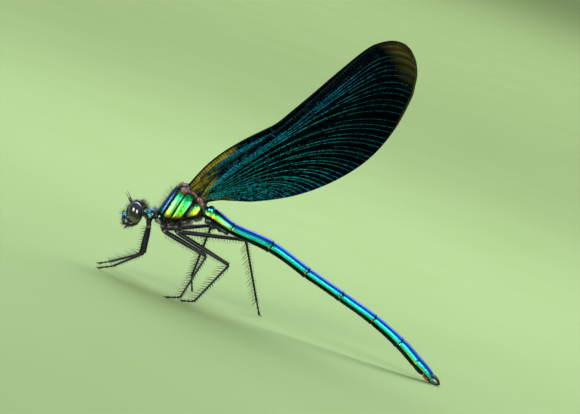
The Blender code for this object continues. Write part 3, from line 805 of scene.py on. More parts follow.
def wire_object(name, points, edges, numbers, vectors=None):
    """A mesh of bare edges with named values at its points, for a tree to read."""
    mesh = bpy.data.meshes.new(name)
    mesh.from_pydata(points, edges, [])
    store_values(mesh, numbers)
    for value_name, stored in (vectors or {}).items():
        flat = [number for vector in stored for number in vector]
        mesh.attributes.new(value_name, "FLOAT_VECTOR", "POINT").data.foreach_set("vector", flat)
    return add_object(name, mesh)


# Finishes

def new_finish(name, **constants):
    """A material and its shader; the constants are set on the shader's own sockets."""
    material = bpy.data.materials.new(name)
    material.use_nodes = True
    shader = material.node_tree.nodes["Principled BSDF"]
    for socket_name, value in constants.items():
        shader.inputs[socket_name.replace("_", " ")].default_value = value
    return material, material.node_tree, shader


def read_value(tree, name):
    return add_node(tree, "ShaderNodeAttribute", {}, attribute_name=name)["Fac"]


def object_place(tree):
    return add_node(tree, "ShaderNodeTexCoord", {})["Object"]


def noise(tree, place, scale, detail):
    return add_node(tree, "ShaderNodeTexNoise", {"Vector": place, "Scale": scale, "Detail": detail})


def bump(tree, height, strength, depth, **settings):
    return add_node(
        tree, "ShaderNodeBump", {"Strength": strength, "Distance": depth, "Height": height}, **settings)[0]


def mix_colour(tree, share, first, second):
    return add_node(tree, "ShaderNodeMix", {0: share, 6: first, 7: second}, data_type="RGBA")[2]


def remap(tree, value, low, high, start=0.0, end=1.0, curve="LINEAR"):
    """Turn values from low to high into values from start to end."""
    inputs = {0: value, 1: low, 2: high, 3: start, 4: end}
    return add_node(tree, "ShaderNodeMapRange", inputs, interpolation_type=curve)[0]


def step_mask(tree, value, low, high):
    """A mask that turns smoothly from 0 at low to 1 at high."""
    return remap(tree, value, low, high, curve="SMOOTHSTEP")


def line_mask(tree, value, centre, half_width, softness):
    """A mask that is 1 within half_width of centre."""
    distance = maths(tree, "ABSOLUTE", maths(tree, "SUBTRACT", value, centre))
    return step_mask(tree, distance, half_width + softness, half_width - softness)


def colour_ramp(tree, value, stops):
    node = tree.nodes.new("ShaderNodeValToRGB")
    feed(tree, node, {0: value})
    elements = node.color_ramp.elements
    while len(elements) < len(stops):
        elements.new(1.0)
    for element, (place, _) in zip(elements, stops):
        element.position = place
    for element, (_, colour) in zip(elements, stops):
        element.color = colour
    return node.outputs[0]


# Effects that several finishes share

EFFECTS = {}


def new_effect(name, inputs, outputs):
    tree, given = new_group(name, "ShaderNodeTree", inputs, outputs)
    EFFECTS[name] = tree
    return tree, given


def make_cuticle_grain():
    """Fine dimples and soft waves of a hard skin, as a height and a roughness."""
    tree, given = new_effect(
        "cuticle grain",
        (("Place", "Vector"), ("Dimples", "Float"), ("Waves", "Float"), ("Smoothest", "Float"),
         ("Roughest", "Float")),
        (("Height", "Float"), ("Roughness", "Float")))
    dimples = add_node(tree, "ShaderNodeTexVoronoi", {"Vector": given["Place"], "Scale": given["Dimples"]})
    waves = noise(tree, given["Place"], given["Waves"], 4.0)["Fac"]
    height = maths(tree, "ADD", product(tree, dimples["Distance"], 0.35), waves)
    rough = remap(tree, waves, 0.3, 0.7, given["Smoothest"], given["Roughest"])
    add_node(tree, "NodeGroupOutput", {"Height": height, "Roughness": rough})


def make_colour_drift():
    """Two colours that drift into each other in soft patches."""
    tree, given = new_effect(
        "colour drift",
        (("Place", "Vector"), ("Patches", "Float"), ("Strength", "Float"), ("Colour", "Color"),
         ("Other", "Color")),
        (("Colour", "Color"),))
    patches = step_mask(tree, noise(tree, given["Place"], given["Patches"], 5.0)["Fac"], 0.38, 0.66)
    share = product(tree, patches, given["Strength"])
    add_node(tree, "NodeGroupOutput", {"Colour": mix_colour(tree, share, given["Colour"], given["Other"])})


def use_effect(tree, name, inputs):
    node = tree.nodes.new("ShaderNodeGroup")
    node.node_tree = EFFECTS[name]
    feed(tree, node, inputs)
    return node.outputs


def drifting(tree, place, patches, strength, colour, other):
    return use_effect(tree, "colour drift", {
        "Place": place, "Patches": patches, "Strength": strength, "Colour": colour,
        "Other": other})["Colour"]


def cuticle_grain(tree, place, dimples, waves, roughness):
    return use_effect(tree, "cuticle grain", {
        "Place": place, "Dimples": dimples, "Waves": waves, "Smoothest": roughness[0],
        "Roughest": roughness[1]})


def grain_surface(tree, shader, place, dimples, waves, roughness, relief, depth=0.00002):
    """Give a shader the cuticle's small relief and uneven gloss."""
    grain = cuticle_grain(tree, place, dimples, waves, roughness)
    feed(tree, shader, {
        "Normal": bump(tree, grain["Height"], relief, depth), "Roughness": grain["Roughness"]})


# The finishes themselves

def plain_finish(
        name, colour, other, patches=1500.0, share=1.0, waves=1200.0, roughness=(0.3, 0.5), relief=0.4,
        **constants):
    """A hard or skin-like surface of two drifting colours; the constants are for the shader."""
    material, tree, shader = new_finish(name, **constants)
    place = object_place(tree)
    feed(tree, shader, {"Base Color": drifting(tree, place, patches, share, colour, other)})
    grain_surface(tree, shader, place, 9000.0, waves, roughness, relief)
    return material


def lobe_metal():
    """Small metallic plates, blue where they face up, green at the side and gold where they face down."""
    material, tree, shader = new_finish("metal lobes", Metallic=0.95, Coat_Weight=0.4, Coat_Roughness=0.12)
    place = add_node(tree, "ShaderNodeTexCoord", {})
    up = add_node(tree, "ShaderNodeSeparateXYZ", {0: place["Normal"]})["Z"]
    tilt = maths(tree, "MULTIPLY_ADD", noise(tree, place["Object"], 2600.0, 3.0)["Fac"], 0.9, up)
    feed(tree, shader, {"Base Color": colour_ramp(tree, remap(tree, tilt, -0.4, 1.4), (
        (0.0, CUTICLE_BLACK), (0.12, GOLD), (0.26, GOLD_GREEN), (0.42, EMERALD), (0.58, TEAL),
        (0.72, DEEP_BLUE), (0.9, NIGHT_BLUE), (1.0, NIGHT_BLUE)))})
    grain_surface(
        tree, shader, place["Object"], dimples=6000.0, waves=2200.0, roughness=(0.2, 0.34), relief=0.6)
    return material


def hinge_finish():
    """Rust-brown horny plates with dark creases and worn, paler swells."""
    material, tree, shader = new_finish("wing hinge", Coat_Weight=0.3, Coat_Roughness=0.3)
    place = object_place(tree)
    drift = drifting(tree, place, 2600.0, 0.75, RUST, RUST_DARK)
    warped = vector_sum(tree, place, scaled(tree, noise(tree, place, 1800.0, 3.0)["Color"], 0.0004))
    cells = add_node(
        tree, "ShaderNodeTexVoronoi", {"Vector": warped, "Scale": 2700.0}, feature="DISTANCE_TO_EDGE")
    crease = step_mask(tree, cells["Distance"], 0.1, 0.02)
    grain = cuticle_grain(tree, place, 5200.0, 2600.0, (0.3, 0.5))
    raised = maths(tree, "MULTIPLY_ADD", crease, -1.2, grain["Height"])
    feed(tree, shader, {
        "Base Color": mix_colour(tree, product(tree, crease, 0.4), drift, RUST_DARK),
        "Normal": bump(tree, raised, 0.6, 0.00003), "Roughness": grain["Roughness"]})
    return material


def thorax_metal():
    """Metallic plates: blue over the back, green to gold on the sides, black seams and underside with
    painted shade beside them.
    """
    material, tree, shader = new_finish("thorax metal", Metallic=0.92, Coat_Weight=0.35, Coat_Roughness=0.12)
    place = object_place(tree)
    along = read_value(tree, "along")
    around = read_value(tree, "around")
    low_edge = maths(tree, "ADD", around, remap(tree, along, 4.4, 6.6, 0.06, 0.17))
    wander = maths(tree, "MULTIPLY_ADD", noise(tree, place, 900.0, 4.0)["Fac"], -0.2, low_edge)
    level = remap(tree, wander, 0.6, 0.08)
    sides = colour_ramp(tree, level, (
        (0.0, GOLD), (0.08, GOLD_GREEN), (0.2, LEAF_GREEN), (0.4, EMERALD), (0.72, EMERALD), (0.86, TEAL),
        (1.0, DORSUM_BLUE)))
    back = colour_ramp(
        tree, level, ((0.0, TEAL), (0.25, DORSUM_BLUE), (0.7, DORSUM_BLUE), (1.0, DEEP_BLUE)))
    on_side = step_mask(tree, along, THORAX_SUTURES[0] - 0.05, THORAX_SUTURES[0] + 0.05)
    metal = mix_colour(tree, on_side, back, sides)
    seams = [line_mask(tree, along, suture, *line) for suture, line in zip(THORAX_SUTURES, SEAM_LINES)]
    black = most(
        tree, *seams, step_mask(tree, along, 6.15, 6.4), step_mask(tree, low_edge, 0.7, 0.73),
        step_mask(tree, around, 0.16, 0.13))
    # Painted shade: the green darkens beside each seam and towards the lower edge
    shades = [line_mask(tree, along, suture, *shade) for suture, shade in zip(THORAX_SUTURES, SEAM_SHADES)]
    rims = most(tree, *shades, step_mask(tree, low_edge, 0.6, 0.73))
    shaded = mix_colour(tree, product(tree, rims, 0.85), metal, PLATE_SHADE)
    facing = add_node(tree, "ShaderNodeLayerWeight", {"Blend": 0.35})["Facing"]
    edged = mix_colour(tree, product(tree, facing, 0.75), shaded, PLATE_EDGE_BLUE)
    feed(tree, shader, {"Base Color": mix_colour(tree, black, edged, CUTICLE_BLACK)})
    grain_surface(
        tree, shader, place, dimples=5200.0, waves=3400.0, roughness=(0.2, 0.36), relief=0.7, depth=0.00004)
    return material


def abdomen_metal():
    """Blue back, teal sides, cyan painted bright as a highlight low down, black below, a black ring at each
    joint.
    """
    material, tree, shader = new_finish(
        "abdomen metal", Metallic=0.97, Coat_Weight=0.08, Coat_Roughness=0.15)
    place = object_place(tree)
    around = read_value(tree, "around")
    # The cyan band just above the black is a painted highlight over the metal's own colour
    body = colour_ramp(tree, around, (
        (0.0, VIOLET_BLUE), (0.12, VIOLET_BLUE), (0.18, BAND_BLUE), (0.27, SIDE_BLUE), (0.31, SIDE_BLUE),
        (0.355, SIDE_TEAL), (0.41, SIDE_TEAL), (0.445, LOW_TEAL), (0.49, CYAN_AND_HIGHLIGHT), (0.535, CYAN_AND_HIGHLIGHT),
        (0.55, LEAF_GREEN), (0.575, BELLY_BLACK), (1.0, BELLY_BLACK)))
    front = colour_ramp(tree, around, (
        (0.0, DORSUM_BLUE), (0.16, DEEP_BLUE), (0.24, NIGHT_BLUE), (0.28, DEEP_TEAL), (0.37, EMERALD),
        (0.46, LEAF_GREEN), (0.51, GOLD_GREEN), (0.54, GOLD), (0.555, CUTICLE_BLACK), (1.0, CUTICLE_BLACK)))
    tail = colour_ramp(tree, around, (
        (0.0, VIOLET_BLUE), (0.12, VIOLET_BLUE), (0.18, BAND_BLUE), (0.3, SIDE_BLUE), (0.37, SIDE_TEAL),
        (0.44, LOW_TEAL), (0.5, EMERALD), (0.535, LEAF_GREEN), (0.55, GOLD), (0.575, BELLY_BLACK),
        (0.86, BELLY_BLACK), (1.0, TAIL_BROWN)))
    skin = mix_colour(tree, read_value(tree, "front"), body, front)
    skin = mix_colour(tree, read_value(tree, "rear"), skin, tail)
    share = maths(tree, "FLOORED_MODULO", read_value(tree, "along"), 1.0)
    joint = most(tree, step_mask(tree, share, 0.955, 0.97), step_mask(tree, share, 0.02, 0.008))
    skin = mix_colour(tree, joint, skin, CUTICLE_BLACK)
    corner = product(tree, line_mask(tree, around, 0.56, 0.03, 0.015), step_mask(tree, share, 0.925, 0.945))
    skin = mix_colour(tree, product(tree, corner, 0.8), skin, CORNER_PALE)
    feed(tree, shader, {"Base Color": drifting(tree, place, 600.0, 0.12, skin, TEAL_BLUE)})
    grain_surface(tree, shader, place, dimples=8000.0, waves=900.0, roughness=(0.24, 0.36), relief=0.25)
    return material


def wing_membrane():
    """Near-black blue with painted teal sheen and glints on the pleat crests; amber at the root and brown at
    the tip.
    """
    material, tree, shader = new_finish("wing membrane", Specular_IOR_Level=0.0)
    place = object_place(tree)
    amber, tip, bright, root, blue, crest = (read_value(tree, name) for name in TONE_NAMES)
    # Painted glints: random specks where tiny facets of the membrane would catch the light
    streaks = add_node(tree, "ShaderNodeMapping", {
        "Vector": place, "Rotation": (0.0, -0.75, 0.0), "Scale": (2.4, 1.0, 1.0)}, vector_type="TEXTURE")
    specks = noise(tree, streaks[0], 4600.0, 1.5)["Color"]
    chance = add_node(tree, "ShaderNodeSeparateColor", {0: specks})
    glint = step_mask(tree, chance[0], 0.5, 0.62)
    bluer = product(tree, step_mask(tree, chance[1], 0.42, 0.58), 0.95)
    sheen = mix_colour(tree, most(tree, blue, bluer), WING_SHEEN_TEAL, WING_SHEEN_BLUE)
    sheen = mix_colour(tree, product(tree, glint, 0.7), sheen, WING_GLINT)
    # Painted sheen along the pleat crests and mottled over the root, as strong as the wing's brightness
    # value says
    between = product(tree, root, remap(tree, crest, 0.8, 0.2, 0.12, 0.52))
    lit = most(tree, maths(tree, "POWER", crest, 3.0), between)
    speckled = maths(tree, "MULTIPLY_ADD", glint, 0.95, 0.04)
    patches = step_mask(tree, noise(tree, place, 420.0, 4.0)["Fac"], 0.28, 0.6)
    sheen_share = product(tree, product(tree, product(tree, lit, speckled), bright), patches)
    dark = mix_colour(tree, sheen_share, drifting(tree, place, 260.0, 1.0, WING_BLACK, WING_BLUE), sheen)
    browned = mix_colour(tree, product(tree, tip, 0.8), dark, AMBER_BROWN)
    honey = drifting(tree, place, 1500.0, 0.9, AMBER, AMBER_DARK)
    clear = most(tree, product(tree, amber, 0.3), product(tree, tip, 0.22))
    feed(tree, shader, {
        "Base Color": mix_colour(tree, amber, browned, honey),
        "Alpha": maths(tree, "SUBTRACT", 1.0, clear), "Metallic": product(tree, sheen_share, 0.6)})
    grain_surface(tree, shader, place, dimples=5000.0, waves=2400.0, roughness=(0.45, 0.6), relief=0.3)
    return material


def wing_veins():
    """Metallic teal, bluer along the leading edge and dark in the amber cells and at the tip."""
    material, tree, shader = new_finish("wing veins", Metallic=0.9)
    place = object_place(tree)
    amber, tip, bright, root, blue, shine = (read_value(tree, name) for name in TONE_NAMES)
    metal = mix_colour(tree, blue, drifting(tree, place, 500.0, 0.5, VEIN_TEAL, VEIN_GREEN), VEIN_BLUE)
    metal = mix_colour(tree, bright, VEIN_DIM, metal)
    # shine is painted light: bright on veins along the pleat crests and on glinting rungs, dark as shade in
    # the folds
    shown = mix_colour(tree, shine, VEIN_DARK, metal)
    shown = mix_colour(tree, product(tree, root, 0.55), shown, VEIN_DARK)
    worn = product(tree, step_mask(tree, noise(tree, place, 5200.0, 2.0)["Fac"], 0.6, 0.44), 0.9)
    beaded = mix_colour(tree, worn, shown, VEIN_DARK)
    dark = most(tree, amber, step_mask(tree, tip, 0.0, 0.3))
    feed(tree, shader, {"Base Color": mix_colour(tree, dark, beaded, WING_BLACK)})
    grain_surface(tree, shader, place, dimples=6000.0, waves=3000.0, roughness=(0.28, 0.42), relief=0.3)
    return material


def eye_finish():
    """Top: own blue bloom and a painted sky reflection; black in the middle, grey-brown below; a fine net of
    facets.
    """
    material, tree, shader = new_finish(
        "compound eye", Coat_Weight=1.0, Coat_Roughness=0.05, Coat_IOR=1.65, Specular_IOR_Level=0.02)
    place = object_place(tree)
    up = add_node(tree, "ShaderNodeSeparateXYZ", {0: place})["Z"]
    height = maths(tree, "MULTIPLY_ADD", noise(tree, place, 1500.0, 3.0)["Fac"], 0.00035, up)
    below = step_mask(tree, height, 8.12 * MM, 7.7 * MM)
    # The blue-grey top is partly the eye's own bloom and partly a painted reflection of the sky
    above = step_mask(tree, height, 8.75 * MM, 9.25 * MM)
    with_top_sheen = mix_colour(tree, above, EYE_BLACK, EYE_BLOOM_AND_SKY_SHEEN)
    facets = add_node(tree, "ShaderNodeTexVoronoi", {"Vector": place, "Scale": 22000.0})
    feed(tree, shader, {
        "Base Color": mix_colour(tree, below, with_top_sheen, EYE_GREY),
        "Normal": bump(tree, facets["Distance"], 0.35, 0.00001, invert=True),
        "Roughness": remap(tree, below, 0.0, 1.0, 0.16, 0.42)})
    return material


def lobe_finish(name, colour, other, metallic=0.0, coat=0.2, **settings):
    return plain_finish(
        name, colour, other, Metallic=metallic, Coat_Weight=coat, Coat_Roughness=0.25, **settings)


def hair_finish(name, colour):
    return plain_finish(
        name, colour, LEG_BLUE, share=0.6, roughness=(0.4, 0.6), relief=0.1, Specular_IOR_Level=0.2)


def make_finishes():
    make_cuticle_grain()
    make_colour_drift()
    return {
        "black": plain_finish(
            "black cuticle", CUTICLE_BLACK, NIGHT_BLUE, patches=900.0, share=0.7, roughness=(0.28, 0.45),
            relief=0.3, Metallic=0.25, Coat_Weight=0.25, Coat_Roughness=0.2),
        "leg": plain_finish(
            "leg cuticle", LEG_BLACK, LEG_BLUE, patches=1300.0, share=0.85, waves=2500.0,
            roughness=(0.32, 0.5), relief=0.5, Metallic=0.3, Coat_Weight=0.08, Coat_Roughness=0.25,
            Specular_IOR_Level=0.2),
        "thorax": thorax_metal(),
        "abdomen": abdomen_metal(),
        "membrane": wing_membrane(),
        "veins": wing_veins(),
        "eye": eye_finish(),
        "bristle": hair_finish("bristles", LEG_BLACK),
        "hair": hair_finish("fine hairs", HAIR_GREY),
        "blue": lobe_finish("blue lobes", DEEP_BLUE, TEAL, 0.9, 0.4, roughness=(0.2, 0.34)),
        "lobe": lobe_metal(),
        # The face plate's cyan patches are painted highlights over its own blue
        "nose": lobe_finish("face plate", DEEP_BLUE, CYAN_AND_HIGHLIGHT, 0.8, 0.6, roughness=(0.15, 0.3)),
        "white": lobe_finish("pale jaw", JAW_WHITE, MEMBRANE_PALE, roughness=(0.3, 0.45)),
        "pale": lobe_finish(
            "joint membrane", MEMBRANE_PALE, MEMBRANE_DARK, roughness=(0.45, 0.65), patches=2600.0),
        "bead": lobe_finish("pale beads", BEAD_PALE, MEMBRANE_PALE, roughness=(0.35, 0.5)),
        "rust": hinge_finish(),
    }


# Head

# Forms of the head: centre, radii, lean in degrees, squareness, whether on both sides, finish
HEAD_FORMS = {
    "brow": ((-21.32, 0.36, 8.42), (0.36, 0.46, 0.36), 20, 2.6, True, "black"),
    "brow sheen": ((-21.58, 0.34, 8.22), (0.14, 0.2, 0.13), 30, 2.3, True, "blue"),
    "crown": ((-20.72, 0.28, 8.98), (0.46, 0.36, 0.2), 8, 2.5, True, "black"),
    "back of head": ((-19.86, 0.56, 8.9), (0.16, 0.46, 0.42), 20, 2.6, True, "black"),
    "nose": ((-21.66, 0.0, 7.44), (0.34, 0.86, 0.34), -20, 3.6, False, "nose"),
    "nose ridge": ((-21.86, 0.3, 7.52), (0.14, 0.3, 0.12), -20, 2.6, True, "nose"),
    "under nose": ((-21.68, 0.0, 7.06), (0.32, 0.7, 0.15), -10, 3.0, False, "black"),
    "upper lip": ((-21.6, 0.0, 6.73), (0.28, 0.64, 0.24), 25, 3.0, False, "black"),
    "cheek": ((-20.98, 0.86, 7.26), (0.44, 0.26, 0.36), 0, 2.6, True, "black"),
    "mandible": ((-21.14, 0.66, 6.78), (0.4, 0.3, 0.38), 15, 2.6, True, "black"),
    "pale jaw base": ((-21.24, 0.88, 6.86), (0.17, 0.12, 0.27), -12, 2.4, True, "white"),
    "jaw tip": ((-21.34, 0.5, 6.46), (0.34, 0.28, 0.2), 25, 2.4, True, "black"),
    "maxilla": ((-20.72, 0.66, 6.62), (0.46, 0.22, 0.28), -12, 2.6, True, "black"),
    "lower lip": ((-20.72, 0.26, 6.36), (0.6, 0.3, 0.18), -10, 2.7, True, "black"),
    "throat": ((-20.15, 0.0, 6.75), (0.42, 0.5, 0.28), -25, 2.5, False, "black"),
}
OCELLI = ((-21.42, 0.0, 8.83, 0.13), (-21.0, 0.33, 9.16, 0.12), (-21.0, -0.33, 9.16, 0.12))
PALP_POINTS = ((-20.75, 0.5, 6.36), (-21.05, 0.46, 6.05), (-21.12, 0.38, 5.82), (-21.3, 0.3, 5.66))
PALP_RADII = (0.15, 0.12, 0.07, 0.02)
FEELER_PALP_POINTS = ((-21.2, 0.62, 6.4), (-21.55, 0.6, 6.22), (-21.78, 0.52, 6.2), (-21.92, 0.4, 6.26))
FEELER_PALP_RADII = (0.1, 0.08, 0.06, 0.02)
HEAD_FINISHES = ("black", "blue", "nose", "white", "pale")


def eye_reach(degrees):
    """Distance from the middle of the head to the eye's outline in a direction."""
    angle = math.radians(degrees) - math.radians(EYE_LEAN)
    return 1 / math.hypot(math.cos(angle) / EYE_RADII.x, math.sin(angle) / EYE_RADII.z)


def head_reach(place, degrees):
    """Distance from the head's middle line to its surface, at a sideways place and a direction."""
    outline = [(start - 360, reach) for start, reach in HEAD_OUTLINE[-2:]]
    outline += list(HEAD_OUTLINE)
    outline += [(start + 360, reach) for start, reach in HEAD_OUTLINE[:2]]
    middle_reach = curve_value(outline, degrees)
    side_reach = eye_reach(degrees) * HEAD_SIDE_SHARE
    return middle_reach + (side_reach - middle_reach) * rise(abs(place), 0.35, 0.75)


def make_head(finishes):
    shell = Shell()
    rings = []
    for row in range(HEAD_SLICES):
        place = -math.cos(math.pi * (row + 0.5) / HEAD_SLICES) * HEAD_HALF_WIDTH
        ring = []
        for index in range(HEAD_RING_POINTS):
            degrees = 360 * index / HEAD_RING_POINTS
            outward = slope_vector(degrees) * head_reach(place, degrees)
            ring.append(HEAD_CENTRE + outward + Vector((0.0, place, 0.0)))
        rings.append(ring)
    shell.add_rings(rings)
    shell.add_forms(HEAD_FORMS, HEAD_FINISHES)
    pale = HEAD_FINISHES.index("pale")
    for x, y, z, radius in OCELLI:
        shell.add_dome((x, y, z), (radius, radius, radius * 0.8), rows=10, columns=20, finish=pale)
        shell.add_dome((x, y, z - 0.03), (radius * 1.35, radius * 1.35, radius * 0.7), rows=10, columns=20)
    for side in SIDES.values():
        shell.add_tube([mirrored(point, side) for point in PALP_POINTS], PALP_RADII)
        shell.add_tube([mirrored(point, side) for point in FEELER_PALP_POINTS], FEELER_PALP_RADII)
    head = shell.grown_together().piece("head_shell", [finishes[name] for name in HEAD_FINISHES], 180.0)
    return settle(head, "dark_shell", "head")


def make_eye(side_name, finishes):
    low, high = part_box("eye_" + side_name)
    shell = Shell()
    shell.add_dome((low + high) / (2 * MM), EYE_RADII, EYE_LEAN, 2.0, EYE_ROWS, EYE_COLUMNS)
    return settle(shell.piece("eye_globe_" + side_name, [finishes["eye"]]), "eye", "eye_" + side_name)


def make_antenna(side_name, finishes):
    side = SIDES[side_name]
    outward = slope_vector(ANTENNA_DIRECTION)
    base = HEAD_CENTRE + outward * head_reach(ANTENNA_PLACE, ANTENNA_DIRECTION)
    points = [
        base + outward * reach + Vector((0.0, side * (ANTENNA_PLACE + spread), 0.0))
        for reach, spread, _ in ANTENNA_BENDS]
    shell = Shell()
    shell.add_rings(tube_rings(points, [radius for _, _, radius in ANTENNA_BENDS], ANTENNA_SIDES))
    piece = shell.piece("antenna_shell_" + side_name, [finishes["black"]])
    return settle(piece, "dark_shell", "antenna_" + side_name)


# Thorax

# Forms of the prothorax and neck, given as those of the head are
PROTHORAX_FORMS = {
    "front collar": ((-19.08, 0.0, 8.5), (0.13, 0.72, 0.58), -8, 2.6, False, "black"),
    "front lobe": ((-19.3, 0.36, 8.94), (0.2, 0.3, 0.12), -24, 2.6, True, "lobe"),
    "front side lobe": ((-19.2, 0.7, 8.62), (0.16, 0.12, 0.2), -10, 2.4, True, "blue"),
    "middle lobe": ((-18.86, 0.44, 8.98), (0.3, 0.38, 0.17), -6, 2.8, True, "lobe"),
    "middle lobe rim": ((-18.9, 0.74, 8.74), (0.27, 0.16, 0.09), -4, 2.6, True, "lobe"),
    "middle ridge": ((-18.7, 0.0, 9.02), (0.36, 0.2, 0.2), 0, 2.4, False, "blue"),
    "side plate": ((-18.68, 0.82, 8.42), (0.26, 0.1, 0.17), 24, 2.8, True, "lobe"),
    "rear side plate": ((-18.4, 0.8, 8.7), (0.12, 0.1, 0.18), 0, 2.6, True, "lobe"),
    "low side plate": ((-18.6, 0.74, 8.08), (0.26, 0.16, 0.12), 10, 2.6, True, "black"),
    "hind lobe": ((-18.16, 0.32, 9.28), (0.1, 0.42, 0.3), -32, 2.7, True, "blue"),
    "side spot": ((-18.06, 0.84, 9.05), (0.11, 0.09, 0.13), 0, 2.2, True, "rust"),
    "breathing hole": ((-17.86, 0.93, 8.7), (0.12, 0.1, 0.17), 0, 2.2, True, "rust"),
    "neck plate": ((-19.4, 0.3, 8.15), (0.3, 0.16, 0.2), 10, 2.4, True, "black"),
    "neck skin": ((-19.0, 0.5, 7.92), (0.22, 0.2, 0.14), 0, 2.2, True, "pale"),
}
PROTHORAX_FINISHES = ("black", "blue", "lobe", "rust", "pale")

# Forms round the wing roots, over the back and below, given as those of the head are
THORAX_FORMS = {
    "front hinge knob": ((-16.2, 0.74, 13.34), (0.36, 0.28, 0.2), -48, 2.6, True, "rust"),
    "front hinge ridge": ((-15.86, 0.72, 13.42), (0.4, 0.24, 0.13), -20, 2.6, True, "rust"),
    "front hinge rim": ((-15.86, 0.62, 13.24), (0.62, 0.36, 0.3), -35, 2.3, True, "black"),
    "front hinge plate": ((-15.5, 1.22, 12.82), (0.5, 0.26, 0.34), -46, 3.2, True, "rust"),
    "front hinge fold": ((-15.32, 1.26, 13.18), (0.4, 0.2, 0.2), -28, 3.0, True, "rust"),
    "front hinge frame": ((-15.4, 1.1, 12.94), (0.68, 0.28, 0.64), -40, 2.9, True, "black"),
    "middle hinge": ((-14.34, 1.34, 12.94), (0.28, 0.18, 0.2), 8, 2.8, True, "rust"),
    "middle hinge fold": ((-13.96, 1.38, 12.74), (0.26, 0.18, 0.16), 42, 2.8, True, "rust"),
    "middle frame": ((-14.2, 1.22, 12.8), (0.56, 0.22, 0.38), 20, 2.6, True, "black"),
    "hind hinge plate": ((-13.3, 1.42, 12.4), (0.42, 0.24, 0.36), 30, 3.2, True, "rust"),
    "hind hinge fold": ((-12.98, 1.42, 11.98), (0.4, 0.22, 0.34), 48, 3.0, True, "rust"),
    "hind hinge frame": ((-13.2, 1.26, 12.2), (0.88, 0.28, 0.56), 37, 2.8, True, "black"),
    "hind hinge spot": ((-12.64, 1.34, 11.66), (0.13, 0.14, 0.2), 20, 2.2, True, "pale"),
    "front root bead": ((-14.86, 0.92, 13.34), (0.12, 0.1, 0.09), 30, 2.4, True, "bead"),
    "hind root bead": ((-12.98, 1.6, 12.84), (0.12, 0.08, 0.09), 40, 2.4, True, "bead"),
    "front back plate": ((-15.3, 0.0, 13.2), (0.75, 0.42, 0.24), 14, 2.5, False, "blue"),
    "middle back plate": ((-14.1, 0.0, 12.86), (0.5, 0.45, 0.22), 18, 2.5, False, "black"),
    "hind back plate": ((-13.2, 0.0, 12.5), (0.5, 0.5, 0.22), 24, 2.5, False, "blue"),
    "rear corner": ((-12.6, 0.75, 11.3), (0.36, 0.42, 0.6), -20, 2.5, True, "black"),
    "breast": ((-16.7, 0.0, 8.12), (1.3, 1.05, 0.45), 4, 2.6, False, "black"),
    "rear breast": ((-14.9, 0.0, 8.75), (1.5, 0.95, 0.45), -28, 2.5, False, "black"),
    "tail root skin": ((-12.75, 0.62, 9.86), (0.5, 0.3, 0.18), -30, 2.6, True, "pale"),
    "rear breast plate": ((-13.7, 1.02, 9.05), (0.55, 0.14, 0.1), -22, 3.0, True, "pale"),
    "front hip skin": ((-17.48, 0.98, 8.2), (0.3, 0.16, 0.2), 30, 2.8, True, "pale"),
    "front hip fold": ((-17.2, 1.08, 8.02), (0.26, 0.14, 0.1), 35, 2.8, True, "bead"),
    "middle hip skin": ((-15.85, 1.2, 7.98), (0.3, 0.14, 0.11), -10, 2.8, True, "pale"),
    "front corner gold": ((-17.46, 1.05, 8.72), (0.13, 0.14, 0.27), 12, 2.4, True, "lobe"),
}
THORAX_FINISHES = ("thorax", "black", "blue", "rust", "pale", "bead", "lobe")
# Rings of each hip: how far out they lie, radius, half thickness, finish
HIP_RING_FORMS = ((0.0, 0.3, 0.1, "black"), (0.06, 0.17, 0.08, "pale"), (0.11, 0.1, 0.07, "black"))


def suture_profile(place):
    """How far the skin stands in or out there: grooves at the seams and low swells between them."""
    depth = 0.0
    for suture in THORAX_SUTURES:
        depth -= SUTURE_DEPTH * math.exp(-((place - suture) / SUTURE_HALF_WIDTH) ** 2 * 2.5)
    edges = (0.9,) + THORAX_SUTURES + (7.0,)
    for start, end in zip(edges, edges[1:]):
        if start < place < end:
            depth += PLATE_BULGE * math.sin(math.pi * (place - start) / (end - start))
    return depth


def thorax_rings():
    """Slanted sections of the thorax, with the place of each along it."""
    bottom = numbered(Vector((row[0], 0.0, row[1])) for row in THORAX_SLICES)
    top = numbered(Vector((row[2], 0.0, row[3])) for row in THORAX_SLICES)
    width = numbered(row[4] for row in THORAX_SLICES)
    rings, values = [], []
    for station in range(THORAX_STATIONS + 1):
        place = (len(THORAX_SLICES) - 1) * station / THORAX_STATIONS
        low = curve_value(bottom, place)
        high = curve_value(top, place)
        side = Vector((0.0, curve_value(width, place) + suture_profile(place), 0.0))
        rings.append(oval_ring(
            (low + high) / 2, (high - low) / 2, side, THORAX_RING_POINTS, THORAX_SQUARENESS,
            THORAX_TOP_TAPER))
        values.append({"along": place})
    return rings, values


def make_thorax(finishes):
    shell = Shell("along", "around")
    rings, values = thorax_rings()
    shell.add_rings(rings, 0, values)
    forms = Shell()
    forms.add_forms(THORAX_FORMS, THORAX_FINISHES)
    for place in HIP_RINGS:
        for side in SIDES.values():
            for out, radius, half_thickness, finish in HIP_RING_FORMS:
                forms.add_dome(
                    mirrored(place, side) + Vector((0.0, side, 0.0)) * out, (radius, half_thickness, radius),
                    finish=THORAX_FINISHES.index(finish))
    shell.absorb(forms.grown_together())
    thorax = shell.piece("thorax_shell", [finishes[name] for name in THORAX_FINISHES])
    return settle(thorax, "green_shell", "thorax")


def make_prothorax(finishes):
    shell = Shell()
    for slices in (NECK_SLICES, PROTHORAX_SLICES):
        rings = []
        for place, middle, half_height, half_width in slices:
            up = Vector((0.0, 0.0, half_height))
            side = Vector((0.0, half_width, 0.0))
            rings.append(oval_ring(Vector((place, 0.0, middle)), up, side, NECK_RING_POINTS))
        shell.add_rings(rings)
    shell.add_forms(PROTHORAX_FORMS, PROTHORAX_FINISHES)
    skins = [finishes[name] for name in PROTHORAX_FINISHES]
    return settle(shell.grown_together().piece("prothorax_shell", skins, 180.0), "green_shell", "prothorax")


# Abdomen

